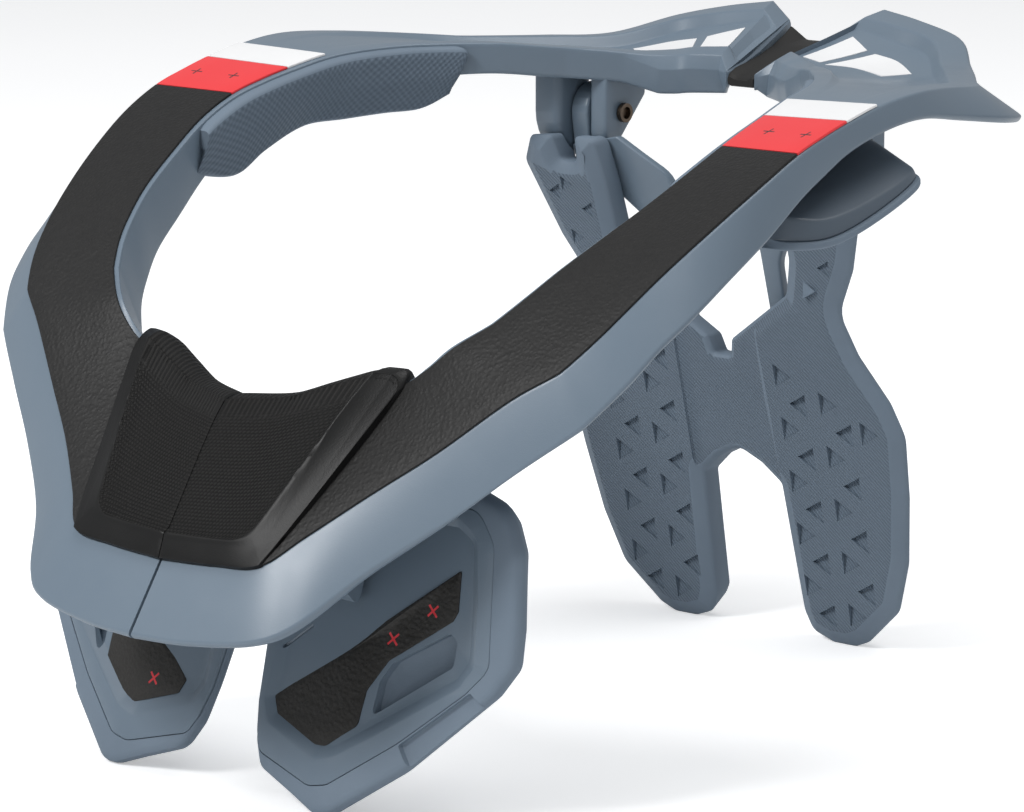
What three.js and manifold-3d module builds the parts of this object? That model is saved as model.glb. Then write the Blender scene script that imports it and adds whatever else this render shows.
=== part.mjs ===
// A rigid neck brace for off-road riding, standing on its two chest feet and its two back blades.
// Millimetres, +Z up, +Y to the rider's back, the mirror plane at x = 0, the ground at z = 0.
import * as THREE from "three";
import { mergeVertices } from "three/addons/utils/BufferGeometryUtils.js";
import Module from "manifold-3d";

const wasm = await Module();
wasm.setup();

// Driving dimensions of the collar.
const WIDTH = 244; // across the outer edges of the two arms
const LENGTH = 306; // from the chin lip to the rear rim
const HEIGHT = 195; // from the ground to the rear rim
const WALL = 2.6; // moulded walls of the collar
const SKIRT_DEPTH = 20; // deepest outer wall of an arm
const HEM_DEPTH = 20; // deepest neck-side wall of an arm
const DISH_DEPTH = 4; // how far a rear wing sags between its edges
const SEAM_GAP = 1; // between the two collar halves
const FIT = 0.3; // clearance between pieces that touch
const FOOT_FIT = 1; // clearance under the feet of the collar's walls

// Driving dimensions of the pieces on the collar.
const PANEL_THICKNESS = 1;
const PANEL_MARGIN = 0.6; // from a panel's edge to the arm's edge
const PAD_CROWN = 8; // height of the chin pad's brow
const BRIDGE_REACH = 0.165; // from the mirror plane into each wing, as a share of half the width
const SHOULDER_FACE = 5; // foam in front of the neck-side wall
const SHOULDER_DROP = 1.5; // from the collar's edge down to the foam's brow
const SHOULDER_RIM = 3; // width of the foam's outer lip
const SHOULDER_LIP = 4.6; // height of the foam's outer lip
const SHOULDER_SHELL = 2;
const SHOULDER_RISE = 0.4; // slope of the shoulder shell towards the neck

// Driving dimensions of the hinge under each wing.
const PIVOT_BACK = 0.8186; // from the chin lip, as a share of the length
const PIVOT_DROP = 32; // below the top of the rear rim
const EAR_RADIUS = 14.5;
const OUTER_EAR = 12; // thickness of the outer ear
const INNER_EAR = 6.4; // thickness of the inner ear
const FORK_FROM_CENTRE = 44.4; // inner face of the inner ear to the mirror plane
const TONGUE = 6.6; // thickness of the strut between the ears
const TONGUE_FIT = 0.4;
const SCREW_RADIUS = 2.6;
const SCREW_HEAD_RADIUS = 4.6;
const SCREW_HEAD = 2.6;
const TONGUE_RADIUS = 9;
const SLOT_FIT = 1.5; // from the tongue to the slot in the pad's top

// Driving dimensions of the chest pieces.
const CHEST_SPAN = 84; // from the mirror plane to the shell's outer edge
const CHEST_RISE = 90; // height of the shell's top
const CHEST_LEAN = 0.369; // backwards for each millimetre up
const CHEST_SLANT = 0.049; // forwards for each millimetre outwards
const CHEST_WRAP = 0.235; // backwards for each millimetre outwards, past the bend
const CHEST_BEND = 40;
const CHEST_FRONT = 30.5; // from the chin lip to the shell's foot
const SHELL_THICKNESS = 3;
const CHEST_FOAM = 11;
const WINDOW_DEPTH = 5.5; // how far the hand window goes into the foam
const STICKER = 0.8;
// The bracket's ends as shares of the chest piece's rise and span.
const BRACKET_LOW = 0.6;
const BRACKET_HIGH = 0.89;
const BRACKET_FROM = 0.26;
const BRACKET_TO = 0.5;

// Driving dimensions of the back pad and its struts.
const BLADE_SPAN = 65.5; // from the mirror plane to a blade's widest point
const PAD_DROP = 6; // from the pivots down to the pad's upper corners
const BACK_FOAM = 10;
const BACK_FOOT = 25.5; // from the pivots back to the pad's front face at the ground
const BACK_LEAN = 0.2; // forwards for each millimetre up
const BACK_ARCH = 12; // how far the pad's upper corners curl forwards
const STRUT_THICKNESS = 3.4;
const STRUT_TOP = 0.93; // where the tongue leaves the strut's plate, as a share of the rise
const SLOT_FLOOR = 0.936; // foot of the slot in the pad's top, as a share of the rise
const BACK_BEVEL = 5;
const POCKET_DEPTH = 1.8;
const POCKET_SIDE = 7.8; // upright edge of a pocket
const POCKET_REACH = 7; // from that edge to its point
const POCKET_PITCH = 17.2; // between the pockets of a column

const HALF = WIDTH / 2;
const PIVOT_HEIGHT = HEIGHT - PIVOT_DROP;
const BACK_RISE = PIVOT_HEIGHT - PAD_DROP;

// Finishes.
const finish = (color, roughness, metalness = 0) =>
  new THREE.MeshStandardMaterial({ color, roughness, metalness });
const MOULDED = finish(0x70808f, 0.45);
const FOAM = finish(0x657483, 0.75);
const LEATHER = finish(0x2d2d2d, 0.6);
const WEAVE = finish(0x191919, 0.8);
const RUBBER = finish(0x1c1c1c, 0.7);
const RED = finish(0xeb4b4b, 0.5);
const WHITE = finish(0xf0f0f0, 0.5);
const METAL = finish(0x8a7a6c, 0.4, 1);

// A point from its shares of half the width, the length and the height.
function place([x, y, z]) {
  return new THREE.Vector3(x * HALF, (y - 0.5) * LENGTH, z * HEIGHT);
}

// The y of a point a given way behind the chin lip.
const behindLip = (distance) => distance - LENGTH / 2;

// Rows run from the seam under the chin, round the arm, to the inner end of the rear wing.
// inner and outer are the edges of the top face. skirt and hem are the way from those
// edges to the foot of the outer wall and of the neck-side wall, as shares of their depths.
const COLLAR = [
  { inner: [0, 0.142, 0.526], outer: [0, 0.04, 0.346], skirt: [0, -0.615, -0.925], hem: [0, 0.2, -0.8], dish: 0 },
  { inner: [0.139, 0.157, 0.533], outer: [0.164, 0.042, 0.351], skirt: [0, -0.575, -0.94], hem: [0, 0.2, -0.8], dish: 0 },
  { inner: [0.238, 0.168, 0.554], outer: [0.287, 0.047, 0.36], skirt: [0.25, -0.48, -0.9], hem: [0, 0.2, -0.8], dish: 0 },
  { inner: [0.336, 0.18, 0.577], outer: [0.365, 0.072, 0.401], skirt: [0.3, -0.565, -1.05], hem: [-0.05, 0.2, -0.8], dish: 0 },
  { inner: [0.41, 0.183, 0.597], outer: [0.475, 0.105, 0.459], skirt: [0.25, -0.375, -0.95], hem: [-0.1, 0.2, -0.85], dish: 0 },
  { inner: [0.463, 0.186, 0.621], outer: [0.598, 0.136, 0.519], skirt: [0.325, -0.225, -0.85], hem: [-0.175, 0.25, -0.9], dish: 0 },
  { inner: [0.516, 0.194, 0.651], outer: [0.739, 0.17, 0.596], skirt: [0.3, -0.225, -0.875], hem: [-0.3, 0.25, -0.95], dish: 0 },
  { inner: [0.58, 0.215, 0.682], outer: [0.83, 0.191, 0.635], skirt: [0.475, -0.075, -0.625], hem: [-0.25, 0.225, -0.95], dish: 0 },
  { inner: [0.624, 0.24, 0.717], outer: [0.877, 0.217, 0.677], skirt: [0.55, 0, -0.475], hem: [-0.2, 0.15, -0.95], dish: 0 },
  { inner: [0.657, 0.268, 0.75], outer: [0.909, 0.246, 0.718], skirt: [0.51, 0, -0.465], hem: [-0.15, 0.1, -0.95], dish: 0 },
  { inner: [0.687, 0.299, 0.781], outer: [0.934, 0.277, 0.757], skirt: [0.47, 0, -0.525], hem: [-0.1, 0.05, -0.95], dish: 0 },
  { inner: [0.721, 0.348, 0.823], outer: [0.967, 0.327, 0.811], skirt: [0.315, 0, -0.61], hem: [-0.05, 0, -0.95], dish: 0 },
  { inner: [0.746, 0.398, 0.865], outer: [0.993, 0.383, 0.864], skirt: [0.14, 0, -0.675], hem: [0, 0, -0.85], dish: 0 },
  { inner: [0.751, 0.442, 0.895], outer: [1, 0.429, 0.899], skirt: [0.085, 0, -0.575], hem: [0, 0, -0.7], dish: 0 },
  { inner: [0.743, 0.477, 0.912], outer: [1, 0.464, 0.917], skirt: [0.065, 0, -0.49], hem: [0, 0, -0.6], dish: 0 },
  { inner: [0.731, 0.512, 0.926], outer: [1, 0.5, 0.933], skirt: [0.055, 0, -0.4], hem: [0, 0, -0.55], dish: 0 },
  { inner: [0.703, 0.565, 0.944], outer: [1, 0.552, 0.952], skirt: [0.1, 0.05, -0.34], hem: [0, 0, -0.5], dish: 0 },
  { inner: [0.648, 0.626, 0.952], outer: [0.996, 0.606, 0.961], skirt: [0.125, 0.075, -0.35], hem: [0, 0, -0.5], dish: 0.1 },
  { inner: [0.574, 0.673, 0.953], outer: [0.967, 0.663, 0.958], skirt: [0.275, 0.1, -0.4], hem: [0, 0, -0.5], dish: 0.25 },
  { inner: [0.492, 0.711, 0.952], outer: [0.922, 0.737, 0.948], skirt: [0.475, 0.15, -0.425], hem: [0, 0, -0.475], dish: 0.4 },
  { inner: [0.41, 0.752, 0.945], outer: [0.836, 0.789, 0.94], skirt: [0.575, 0.3, -0.44], hem: [0, 0, -0.475], dish: 0.6 },
  { inner: [0.385, 0.765, 0.943], outer: [0.803, 0.807, 0.939], skirt: [0.025, 0.025, -0.4], hem: [0, 0, -0.475], dish: 0.65 },
  { inner: [0.311, 0.794, 0.938], outer: [0.689, 0.868, 0.938], skirt: [0, 0.015, -0.35], hem: [0, 0, -0.475], dish: 0.8 },
  { inner: [0.238, 0.82, 0.932], outer: [0.574, 0.926, 0.94], skirt: [0, 0.015, -0.35], hem: [0, 0, -0.475], dish: 1 },
  { inner: [0.18, 0.837, 0.931], outer: [0.451, 0.977, 0.969], skirt: [0, 0.015, -0.35], hem: [0, 0, -0.475], dish: 1 },
  { inner: [0.143, 0.846, 0.933], outer: [0.311, 0.99, 0.988], skirt: [0, 0.015, -0.35], hem: [0, 0, -0.475], dish: 0.9 },
  { inner: [0.115, 0.853, 0.935], outer: [0.18, 1, 1], skirt: [0, 0, -0.35], hem: [-0.3, 0.1, -0.45], dish: 0.6 },
];
const SEAM_ROW = 0;
const CHIN_TOP_ROW = 5;
const RED_ROW = 13;
const WHITE_ROW = 15;
const BARE_ROW = 16;
const WING_ROW = 17;
const BAND_GAP = 0.03; // along the collar, between two bands
const LAST_ROW = COLLAR.length - 1;

const vector = (x, y, z) => new THREE.Vector3(x, y, z);
const blend = (a, b, share) => a.clone().lerp(b, share);

// One row of the collar as points: its edges, the feet of its walls and the middle of its top.
function collarRow(index) {
  const row = COLLAR[index];
  const inner = place(row.inner);
  const outer = place(row.outer);
  if (index === SEAM_ROW) {
    inner.x = SEAM_GAP / 2;
    outer.x = SEAM_GAP / 2;
  }
  const skirtFoot = outer.clone().addScaledVector(vector(...row.skirt), SKIRT_DEPTH);
  const hemFoot = inner.clone().addScaledVector(vector(...row.hem), HEM_DEPTH);
  const middle = blend(inner, outer, 0.5);
  middle.z -= row.dish * DISH_DEPTH;
  return { inner, outer, skirtFoot, hemFoot, middle };
}

// The collar's measures at any place between two rows.
function collarAt(position) {
  const low = Math.min(Math.floor(position), LAST_ROW - 1);
  const share = position - low;
  const from = collarRow(low);
  const to = collarRow(low + 1);
  const mixed = {};
  for (const key of Object.keys(from)) mixed[key] = blend(from[key], to[key], share);
  return mixed;
}

// The direction that a top face looks in, at a place along the collar.
function topNormal(position) {
  const step = 0.5;
  const before = collarAt(Math.max(position - step, SEAM_ROW));
  const after = collarAt(Math.min(position + step, LAST_ROW));
  const here = collarAt(position);
  const along = blend(after.inner, after.outer, 0.5).sub(blend(before.inner, before.outer, 0.5));
  const across = here.outer.clone().sub(here.inner);
  const normal = across.cross(along).normalize();
  return normal.z < 0 ? normal.negate() : normal;
}

// A point over the top face: share runs from the outer edge, 0, to the inner edge, 1.
function overTop(position, share, height) {
  const here = collarAt(position);
  const onTop =
    share > 0.5
      ? blend(here.middle, here.inner, 2 * share - 1)
      : blend(here.outer, here.middle, 2 * share);
  return onTop.addScaledVector(topNormal(position), height);
}

// The corner that a wall's inner faces meet in, behind the corner of its outer faces.
function insideCorner(corner, one, other, thickness) {
  const first = one.clone().sub(corner).normalize();
  const second = other.clone().sub(corner).normalize();
  const half = first.angleTo(second) / 2;
  const towards = first.add(second).normalize();
  return corner.clone().addScaledVector(towards, thickness / Math.sin(half));
}

// The inner point beside a wall's foot, square to the wall and on the side of a given point.
function besideFoot(foot, top, inside, thickness) {
  const along = foot.clone().sub(top).normalize();
  const sideways = inside.clone().sub(foot);
  sideways.addScaledVector(along, -sideways.dot(along)).normalize();
  return foot.clone().addScaledVector(sideways, thickness);
}

// A closed solid through rings of as many points each, with its ends filled. Each side
// is split along its shorter diagonal, so that neighbours bend the same way.
function loft(rings) {
  const count = rings[0].length;
  const positions = rings.flat().flatMap((point) => [point.x, point.y, point.z]);
  const faces = [];
  for (let ring = 0; ring < rings.length - 1; ring += 1) {
    for (let corner = 0; corner < count; corner += 1) {
      const next = (corner + 1) % count;
      const a = ring * count + corner;
      const b = ring * count + next;
      const here = rings[ring];
      const there = rings[ring + 1];
      const splitAtA = here[corner].distanceTo(there[next]) < here[next].distanceTo(there[corner]);
      if (splitAtA) faces.push(a, b, b + count, a, b + count, a + count);
      else faces.push(a, b, a + count, b, b + count, a + count);
    }
  }
  const last = (rings.length - 1) * count;
  for (const [one, two, three] of endFaces(rings[0])) faces.push(two, one, three);
  for (const [one, two, three] of endFaces(rings[rings.length - 1])) {
    faces.push(last + one, last + two, last + three);
  }
  return facingOut(indexed(positions, faces));
}

// Triangles that fill one ring, worked out in the plane that fits it best.
function endFaces(ring) {
  const normal = vector(0, 0, 0);
  ring.forEach((point, index) => {
    const next = ring[(index + 1) % ring.length];
    normal.add(point.clone().cross(next));
  });
  normal.normalize();
  const side = Math.abs(normal.z) < 0.9 ? vector(0, 0, 1) : vector(1, 0, 0);
  const right = side.cross(normal).normalize();
  const up = normal.clone().cross(right);
  const flat = ring.map((point) => new THREE.Vector2(point.dot(right), point.dot(up)));
  return THREE.ShapeUtils.triangulateShape(flat, []);
}

function indexed(positions, faces) {
  const geometry = new THREE.BufferGeometry();
  geometry.setAttribute("position", new THREE.Float32BufferAttribute(positions, 3));
  geometry.setIndex(faces);
  return geometry;
}

// Turns every face over if the closed surface encloses a negative volume.
function facingOut(geometry) {
  const point = geometry.getAttribute("position");
  const index = geometry.getIndex().array;
  let volume = 0;
  const corner = (at) => vector(point.getX(index[at]), point.getY(index[at]), point.getZ(index[at]));
  for (let at = 0; at < index.length; at += 3) {
    volume += corner(at).dot(corner(at + 1).cross(corner(at + 2)));
  }
  if (volume < 0) {
    for (let at = 0; at < index.length; at += 3) {
      [index[at + 1], index[at + 2]] = [index[at + 2], index[at + 1]];
    }
  }
  return geometry;
}

// The other side's copy of a solid.
function mirrored(geometry) {
  const copy = geometry.clone().applyMatrix4(new THREE.Matrix4().makeScale(-1, 1, 1));
  return facingOut(copy);
}

// A geometry as a solid that can be joined and cut.
function solid(geometry) {
  const bare = geometry.clone();
  bare.deleteAttribute("normal");
  bare.deleteAttribute("uv");
  const merged = mergeVertices(bare, 1e-3);
  return new wasm.Manifold(
    new wasm.Mesh({
      numProp: 3,
      vertProperties: merged.getAttribute("position").array,
      triVerts: new Uint32Array(merged.getIndex().array),
    }),
  );
}

function geometryOf(made) {
  const mesh = made.getMesh();
  return indexed(Array.from(mesh.vertProperties), Array.from(mesh.triVerts));
}

// A cylinder along X between two places.
function pin(fromX, toX, y, z, radius, sides = 20) {
  const geometry = new THREE.CylinderGeometry(radius, radius, Math.abs(toX - fromX), sides);
  geometry.rotateZ(Math.PI / 2);
  geometry.translate((fromX + toX) / 2, y, z);
  return geometry;
}

// A flat outline in the Y-Z plane, given a thickness along X.
function plateAcross(outline, fromX, toX) {
  const ring = (x) => outline.map(([y, z]) => vector(x, y, z));
  return loft([ring(fromX), ring(toX)]);
}

// Everything over a collar's top face from a given height on, between two rows.
function overTopSlab(from, to, low, high) {
  const rings = [];
  for (let row = from; row <= to; row += 1) {
    const at = collarRow(row);
    const past = at.inner.clone().sub(at.outer).setLength(EAR_RADIUS);
    const under = [1, 0.5, 0].map((share) => overTop(row, share, low));
    const over = [0, 0.5, 1].map((share) => overTop(row, share, high));
    const ring = [...under, ...over];
    [ring[0], ring[ring.length - 1]].forEach((point) => point.add(past));
    [ring[2], ring[3]].forEach((point) => point.sub(past));
    rings.push(ring);
  }
  return solid(loft(rings));
}

// The filled outside of a collar half grown by a clearance: what a neighbour is cut by.
function collarRoom(above, beside) {
  const ringAt = (row, shift) => {
    const at = collarRow(row);
    const inward = at.inner.clone().sub(at.outer).normalize();
    const move = (point, way) => point.clone().addScaledVector(inward, way);
    return [
      move(overTop(row, 1, above), beside),
      overTop(row, 0.5, above),
      move(overTop(row, 0, above), -beside),
      move(at.skirtFoot, -beside).setZ(at.skirtFoot.z - FOOT_FIT),
      move(at.hemFoot, beside).setZ(at.hemFoot.z - FOOT_FIT),
      move(at.inner, beside),
    ].map((point) => point.add(vector(shift, 0, 0)));
  };
  const past = 3 * SEAM_GAP;
  const rings = COLLAR.map((row, index) => ringAt(index, 0));
  return solid(loft([ringAt(SEAM_ROW, -past), ...rings, ringAt(LAST_ROW, -past)]));
}

// Points round a part of a circle in the Y-Z plane.
function arc(y, z, radius, fromTurn, toTurn, steps) {
  return Array.from({ length: steps + 1 }, (unused, step) => {
    const turn = fromTurn + ((toTurn - fromTurn) * step) / steps;
    return [y + radius * Math.cos(turn), z + radius * Math.sin(turn)];
  });
}

const pivotY = behindLip(PIVOT_BACK * LENGTH);
const innerEarFrom = FORK_FROM_CENTRE - INNER_EAR;
const tongueFrom = FORK_FROM_CENTRE + TONGUE_FIT;
const tongueTo = tongueFrom + TONGUE;
const outerEarFrom = tongueTo + TONGUE_FIT;
const outerEarTo = outerEarFrom + OUTER_EAR;
const screwEnd = outerEarFrom + OUTER_EAR * 0.6;

// The two ears under a wing that hold the strut's tongue between them.
function hingeEars() {
  const over = HEIGHT;
  const round = arc(pivotY, PIVOT_HEIGHT, EAR_RADIUS, Math.PI, 2 * Math.PI, 12);
  const outerOutline = [...round, [pivotY + EAR_RADIUS, over], [pivotY - EAR_RADIUS, over]];
  const short = EAR_RADIUS * 0.55;
  const back = pivotY + EAR_RADIUS * 0.8;
  const innerOutline = [
    [pivotY - short, over],
    [pivotY - short, PIVOT_HEIGHT - short],
    [pivotY, PIVOT_HEIGHT - short],
    [back, PIVOT_HEIGHT + short * 0.6],
    [back, over],
  ];
  const outerEar = solid(plateAcross(outerOutline, outerEarFrom, outerEarTo));
  const innerEar = solid(plateAcross(innerOutline, innerEarFrom, FORK_FROM_CENTRE));
  const above = overTopSlab(WING_ROW, LAST_ROW, -WALL / 2, HEIGHT / 4);
  return outerEar.add(innerEar).subtract(above);
}

// One half of the collar: a channel that is open below, with the hinge ears under its wing.
function collarHalf() {
  const rings = COLLAR.map((row, index) => {
    const at = collarRow(index);
    return [
      at.inner,
      at.middle,
      at.outer,
      at.skirtFoot,
      besideFoot(at.skirtFoot, at.outer, at.hemFoot, WALL),
      insideCorner(at.outer, at.middle, at.skirtFoot, WALL),
      at.middle.clone().addScaledVector(topNormal(index), -WALL),
      insideCorner(at.inner, at.middle, at.hemFoot, WALL),
      besideFoot(at.hemFoot, at.inner, at.skirtFoot, WALL),
      at.hemFoot,
    ];
  });
  const bore = pin(innerEarFrom - WALL, screwEnd + FIT, pivotY, PIVOT_HEIGHT, SCREW_RADIUS + FIT);
  return geometryOf(solid(loft(rings)).add(hingeEars()).subtract(solid(bore)));
}

// A thin sheet on the top face between two places along the collar.
function topSheet(from, to) {
  const places = [from];
  for (let row = Math.floor(from) + 1; row < to; row += 1) places.push(row);
  places.push(to);
  const rings = places.map((position) => {
    const here = collarAt(position);
    const margin = PANEL_MARGIN / here.inner.distanceTo(here.outer);
    const shares = [1 - margin, 0.5, margin];
    const under = shares.map((share) => overTop(position, share, FIT));
    const over = shares.map((share) => overTop(position, share, FIT + PANEL_THICKNESS));
    return [...under, ...over.reverse()];
  });
  return loft(rings);
}

// Sections of the chin pad from the seam to its side edge: the places along the collar of
// its front edge and of its neck side, and its height as a share of the crown's.
const CHIN_PAD = [
  { front: 0, neck: 0, height: 1 },
  { front: 0.6, neck: 0.7, height: 1 },
  { front: 1.2, neck: 1.5, height: 0.97 },
  { front: 1.65, neck: 2.4, height: 0.93 },
  { front: 1.9, neck: 3.3, height: 0.86 },
  { front: 2.05, neck: 4.2, height: 0.72 },
  { front: 2.15, neck: 4.75, height: 0.5 },
];
// The pad's outline across: the way from the front edge to the neck side, and the height.
const CHIN_OUTLINE = [
  [0.02, -0.6],
  [-0.01, 0.25],
  [0.03, 0.52],
  [0.09, 0.42],
  [0.5, 0.74],
  [0.86, 1.03],
  [0.98, 0.98],
  [1.07, 0.74],
  [1.11, 0.4],
  [1.1, -0.5],
  [1, -0.7],
];

function chinPad() {
  const rings = CHIN_PAD.map((section) => {
    const front = overTop(section.front, 0, 0);
    const neck = overTop(section.neck, 1, 0);
    const normal = topNormal((section.front + section.neck) / 2);
    return CHIN_OUTLINE.map(([way, height]) => {
      const rise = height > 0 ? height * section.height : height;
      return blend(front, neck, way).addScaledVector(normal, rise * PAD_CROWN);
    });
  });
  const room = collarRoom(PANEL_THICKNESS + 2 * FIT, FIT);
  return geometryOf(largest(solid(loft(rings)).subtract(room)));
}

// The biggest of a solid's separate bodies, without the crumbs that a cut leaves.
function largest(made) {
  return made.decompose().reduce((best, body) => (body.volume() > best.volume() ? body : best));
}

// Outline of the rubber bridge in the Y-Z plane, as shares of the length and the height.
const BRIDGE = [
  [0.872, 0.872],
  [0.872, 0.903],
  [0.9, 0.924],
  [0.945, 0.944],
  [0.962, 0.94],
  [0.962, 0.91],
];

function rearBridge() {
  const outline = BRIDGE.map(([y, z]) => [(y - 0.5) * LENGTH, z * HEIGHT]);
  const reach = BRIDGE_REACH * HALF;
  const slab = solid(plateAcross(outline, -reach, reach));
  const above = overTopSlab(WING_ROW, LAST_ROW, -WALL - FIT, HEIGHT / 4);
  return geometryOf(slab.subtract(above).subtract(solid(mirrored(geometryOf(above)))));
}

// Sections of the shoulder pad from its front end to its rear tip: the place along the
// collar, then the lower edges of its neck side and of its outer side.
const SHOULDER = [
  { at: 11.8, neck: [0.738, 0.381, 0.782], outer: [0.918, 0.425, 0.768] },
  { at: 12.8, neck: [0.746, 0.44, 0.771], outer: [0.984, 0.433, 0.764] },
  { at: 14, neck: [0.738, 0.479, 0.805], outer: [1.033, 0.466, 0.767] },
  { at: 15.4, neck: [0.73, 0.531, 0.836], outer: [1.049, 0.521, 0.792] },
  { at: 16.2, neck: [0.693, 0.574, 0.841], outer: [1.041, 0.587, 0.828] },
  { at: 16.9, neck: [0.656, 0.616, 0.846], outer: [0.984, 0.603, 0.851] },
  { at: 17.6, neck: [0.615, 0.652, 0.85], outer: [0.885, 0.623, 0.869] },
  { at: 18.3, neck: [0.574, 0.673, 0.871], outer: [0.779, 0.645, 0.892] },
];

// The measures that a shoulder foam and its shell share at one section.
function shoulderSection({ at, neck, outer }) {
  const low = place(neck);
  const rim = place(outer);
  const inward = low.clone().sub(rim).setZ(0);
  const width = inward.length();
  inward.normalize();
  const seatFrom = rim.clone().addScaledVector(inward, SHOULDER_RIM);
  seatFrom.z += SHOULDER_LIP - SHOULDER_SHELL - FIT;
  const seat = width - SHOULDER_RIM - SHOULDER_FACE;
  const seatTo = seatFrom.clone().addScaledVector(inward, seat);
  seatTo.z += seat * SHOULDER_RISE;
  const here = collarAt(at);
  const neckward = here.inner.clone().sub(here.outer).setZ(0).normalize();
  const brow = here.inner.clone().addScaledVector(neckward, SHOULDER_FACE);
  brow.z -= SHOULDER_DROP;
  return { low, rim, inward, seatFrom, seatTo, neckward, brow };
}

function shoulderFoam() {
  const rings = SHOULDER.map((section) => {
    const { low, rim, inward, seatFrom, seatTo, neckward, brow } = shoulderSection(section);
    const up = vector(0, 0, SHOULDER_LIP);
    return [
      brow,
      low,
      rim,
      rim.clone().add(up),
      rim.clone().add(up).addScaledVector(inward, SHOULDER_RIM - FIT),
      seatFrom.clone().addScaledVector(inward, -FIT),
      seatTo,
      brow.clone().addScaledVector(neckward, -3 * SHOULDER_FACE),
    ];
  });
  return geometryOf(largest(solid(loft(rings)).subtract(collarRoom(FIT, FIT))));
}

function shoulderShell() {
  const rings = SHOULDER.map((section) => {
    const { seatFrom, seatTo } = shoulderSection(section);
    const from = seatFrom.clone().setZ(seatFrom.z + FIT);
    const to = blend(seatFrom, seatTo, 0.8);
    to.z += FIT;
    const up = vector(0, 0, SHOULDER_SHELL);
    return [from, to, to.clone().add(up), from.clone().add(up)];
  });
  return geometryOf(largest(solid(loft(rings)).subtract(collarRoom(FIT, FIT))));
}

// The chest pieces' front at a place across and up, a given way behind the shell's face.
function chestPoint(x, z, behind) {
  const bend = Math.max(x - CHEST_BEND, 0) * CHEST_WRAP;
  const y = behindLip(CHEST_FRONT) + CHEST_LEAN * z - CHEST_SLANT * x + bend + behind;
  return vector(x, y, z);
}

// Outlines of the chest pieces from the mirror plane outwards: the way across as a share
// of the span, then the lower and the upper edge as shares of the rise.
const CHEST_SHELL_OUTLINE = [
  [0.105, 0.44, 0.93],
  [0.13, 0.33, 0.95],
  [0.16, 0.205, 0.96],
  [0.205, 0.146, 0.97],
  [0.3, 0.115, 0.98],
  [0.445, 0.086, 1],
  [0.476, 0.09, 1],
  [0.6, 0.17, 1],
  [0.71, 0.238, 1],
  [0.85, 0.355, 1],
  [0.93, 0.425, 0.985],
  [0.97, 0.475, 0.93],
  [0.985, 0.53, 0.86],
];
const CHEST_FOAM_OUTLINE = [
  [0.085, 0.4, 0.9],
  [0.13, 0.22, 0.93],
  [0.165, 0.08, 0.94],
  [0.19, 0.06, 0.94],
  [0.32, 0.03, 0.95],
  [0.425, 0, 0.96],
  [0.476, 0, 0.97],
  [0.6, 0.1, 0.97],
  [0.745, 0.185, 0.97],
  [0.77, 0.25, 0.97],
  [0.905, 0.365, 0.97],
  [0.985, 0.435, 0.96],
  [1.01, 0.5, 0.92],
  [1.02, 0.56, 0.85],
];

// A plate of the chest piece between two ways behind the shell's face.
function chestPlate(outline, from, to) {
  const rings = outline.map(([across, low, high]) => {
    const x = across * CHEST_SPAN;
    const bottom = low * CHEST_RISE;
    const top = high * CHEST_RISE;
    return [
      chestPoint(x, bottom, from),
      chestPoint(x, top, from),
      chestPoint(x, top, to),
      chestPoint(x, bottom, to),
    ];
  });
  return loft(rings);
}

// The hand window through the shell and into the foam.
const WINDOW = [
  [0.594, 0.33],
  [0.594, 0.43],
  [0.633, 0.483],
  [0.8, 0.624],
  [0.82, 0.548],
];
function chestWindow(behind) {
  const ring = (way) => WINDOW.map(([x, z]) => chestPoint(x * CHEST_SPAN, z * CHEST_RISE, way));
  return solid(loft([ring(-WINDOW_DEPTH), ring(behind)]));
}

function chestShell() {
  const plate = solid(chestPlate(CHEST_SHELL_OUTLINE, 0, SHELL_THICKNESS));
  const slot = [
    [0.175, 0.445],
    [0.268, 0.52],
    [0.268, 0.535],
    [0.175, 0.46],
  ];
  const ring = (way) => slot.map(([x, z]) => chestPoint(x * CHEST_SPAN, z * CHEST_RISE, way));
  const cut = solid(loft([ring(-1), ring(SHELL_THICKNESS / 3)]));
  return geometryOf(plate.subtract(chestWindow(2 * WINDOW_DEPTH)).subtract(cut));
}

function chestFoam() {
  const from = SHELL_THICKNESS + FIT;
  const plate = solid(chestPlate(CHEST_FOAM_OUTLINE, from, from + CHEST_FOAM));
  return geometryOf(plate.subtract(chestWindow(from + WINDOW_DEPTH)));
}

// The dark sheet on a chest shell, from the mirror plane outwards like its outline.
const STICKER_OUTLINE = [
  [0.157, 0.29, 0.3],
  [0.184, 0.265, 0.36],
  [0.336, 0.212, 0.45],
  [0.425, 0.2, 0.5],
  [0.476, 0.205, 0.53],
  [0.56, 0.28, 0.595],
  [0.565, 0.43, 0.6],
  [0.62, 0.5, 0.64],
  [0.79, 0.66, 0.755],
  [0.825, 0.64, 0.66],
];

function chestBracket() {
  const low = BRACKET_LOW * CHEST_RISE;
  const high = BRACKET_HIGH * CHEST_RISE;
  const ringAt = (x) => [
    chestPoint(x, low, -FIT),
    chestPoint(x, high, -FIT),
    vector(x, behindLip(0.15 * LENGTH), high + WALL),
    vector(x, behindLip(0.145 * LENGTH), 0.56 * HEIGHT),
    vector(x, behindLip(0.1 * LENGTH), 0.5 * HEIGHT),
    vector(x, behindLip(0.103 * LENGTH), 0.37 * HEIGHT),
  ];
  const from = BRACKET_FROM * CHEST_SPAN;
  const to = BRACKET_TO * CHEST_SPAN;
  const above = overTopSlab(SEAM_ROW, CHIN_TOP_ROW, -WALL - FIT, HEIGHT / 4);
  return geometryOf(largest(solid(loft([ringAt(from), ringAt(CHEST_BEND), ringAt(to)])).subtract(above)));
}

// The back pad's front face at a height.
const backFace = (z) => pivotY + BACK_FOOT - BACK_LEAN * z - BACK_ARCH * (z / BACK_RISE) ** 2;

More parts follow.
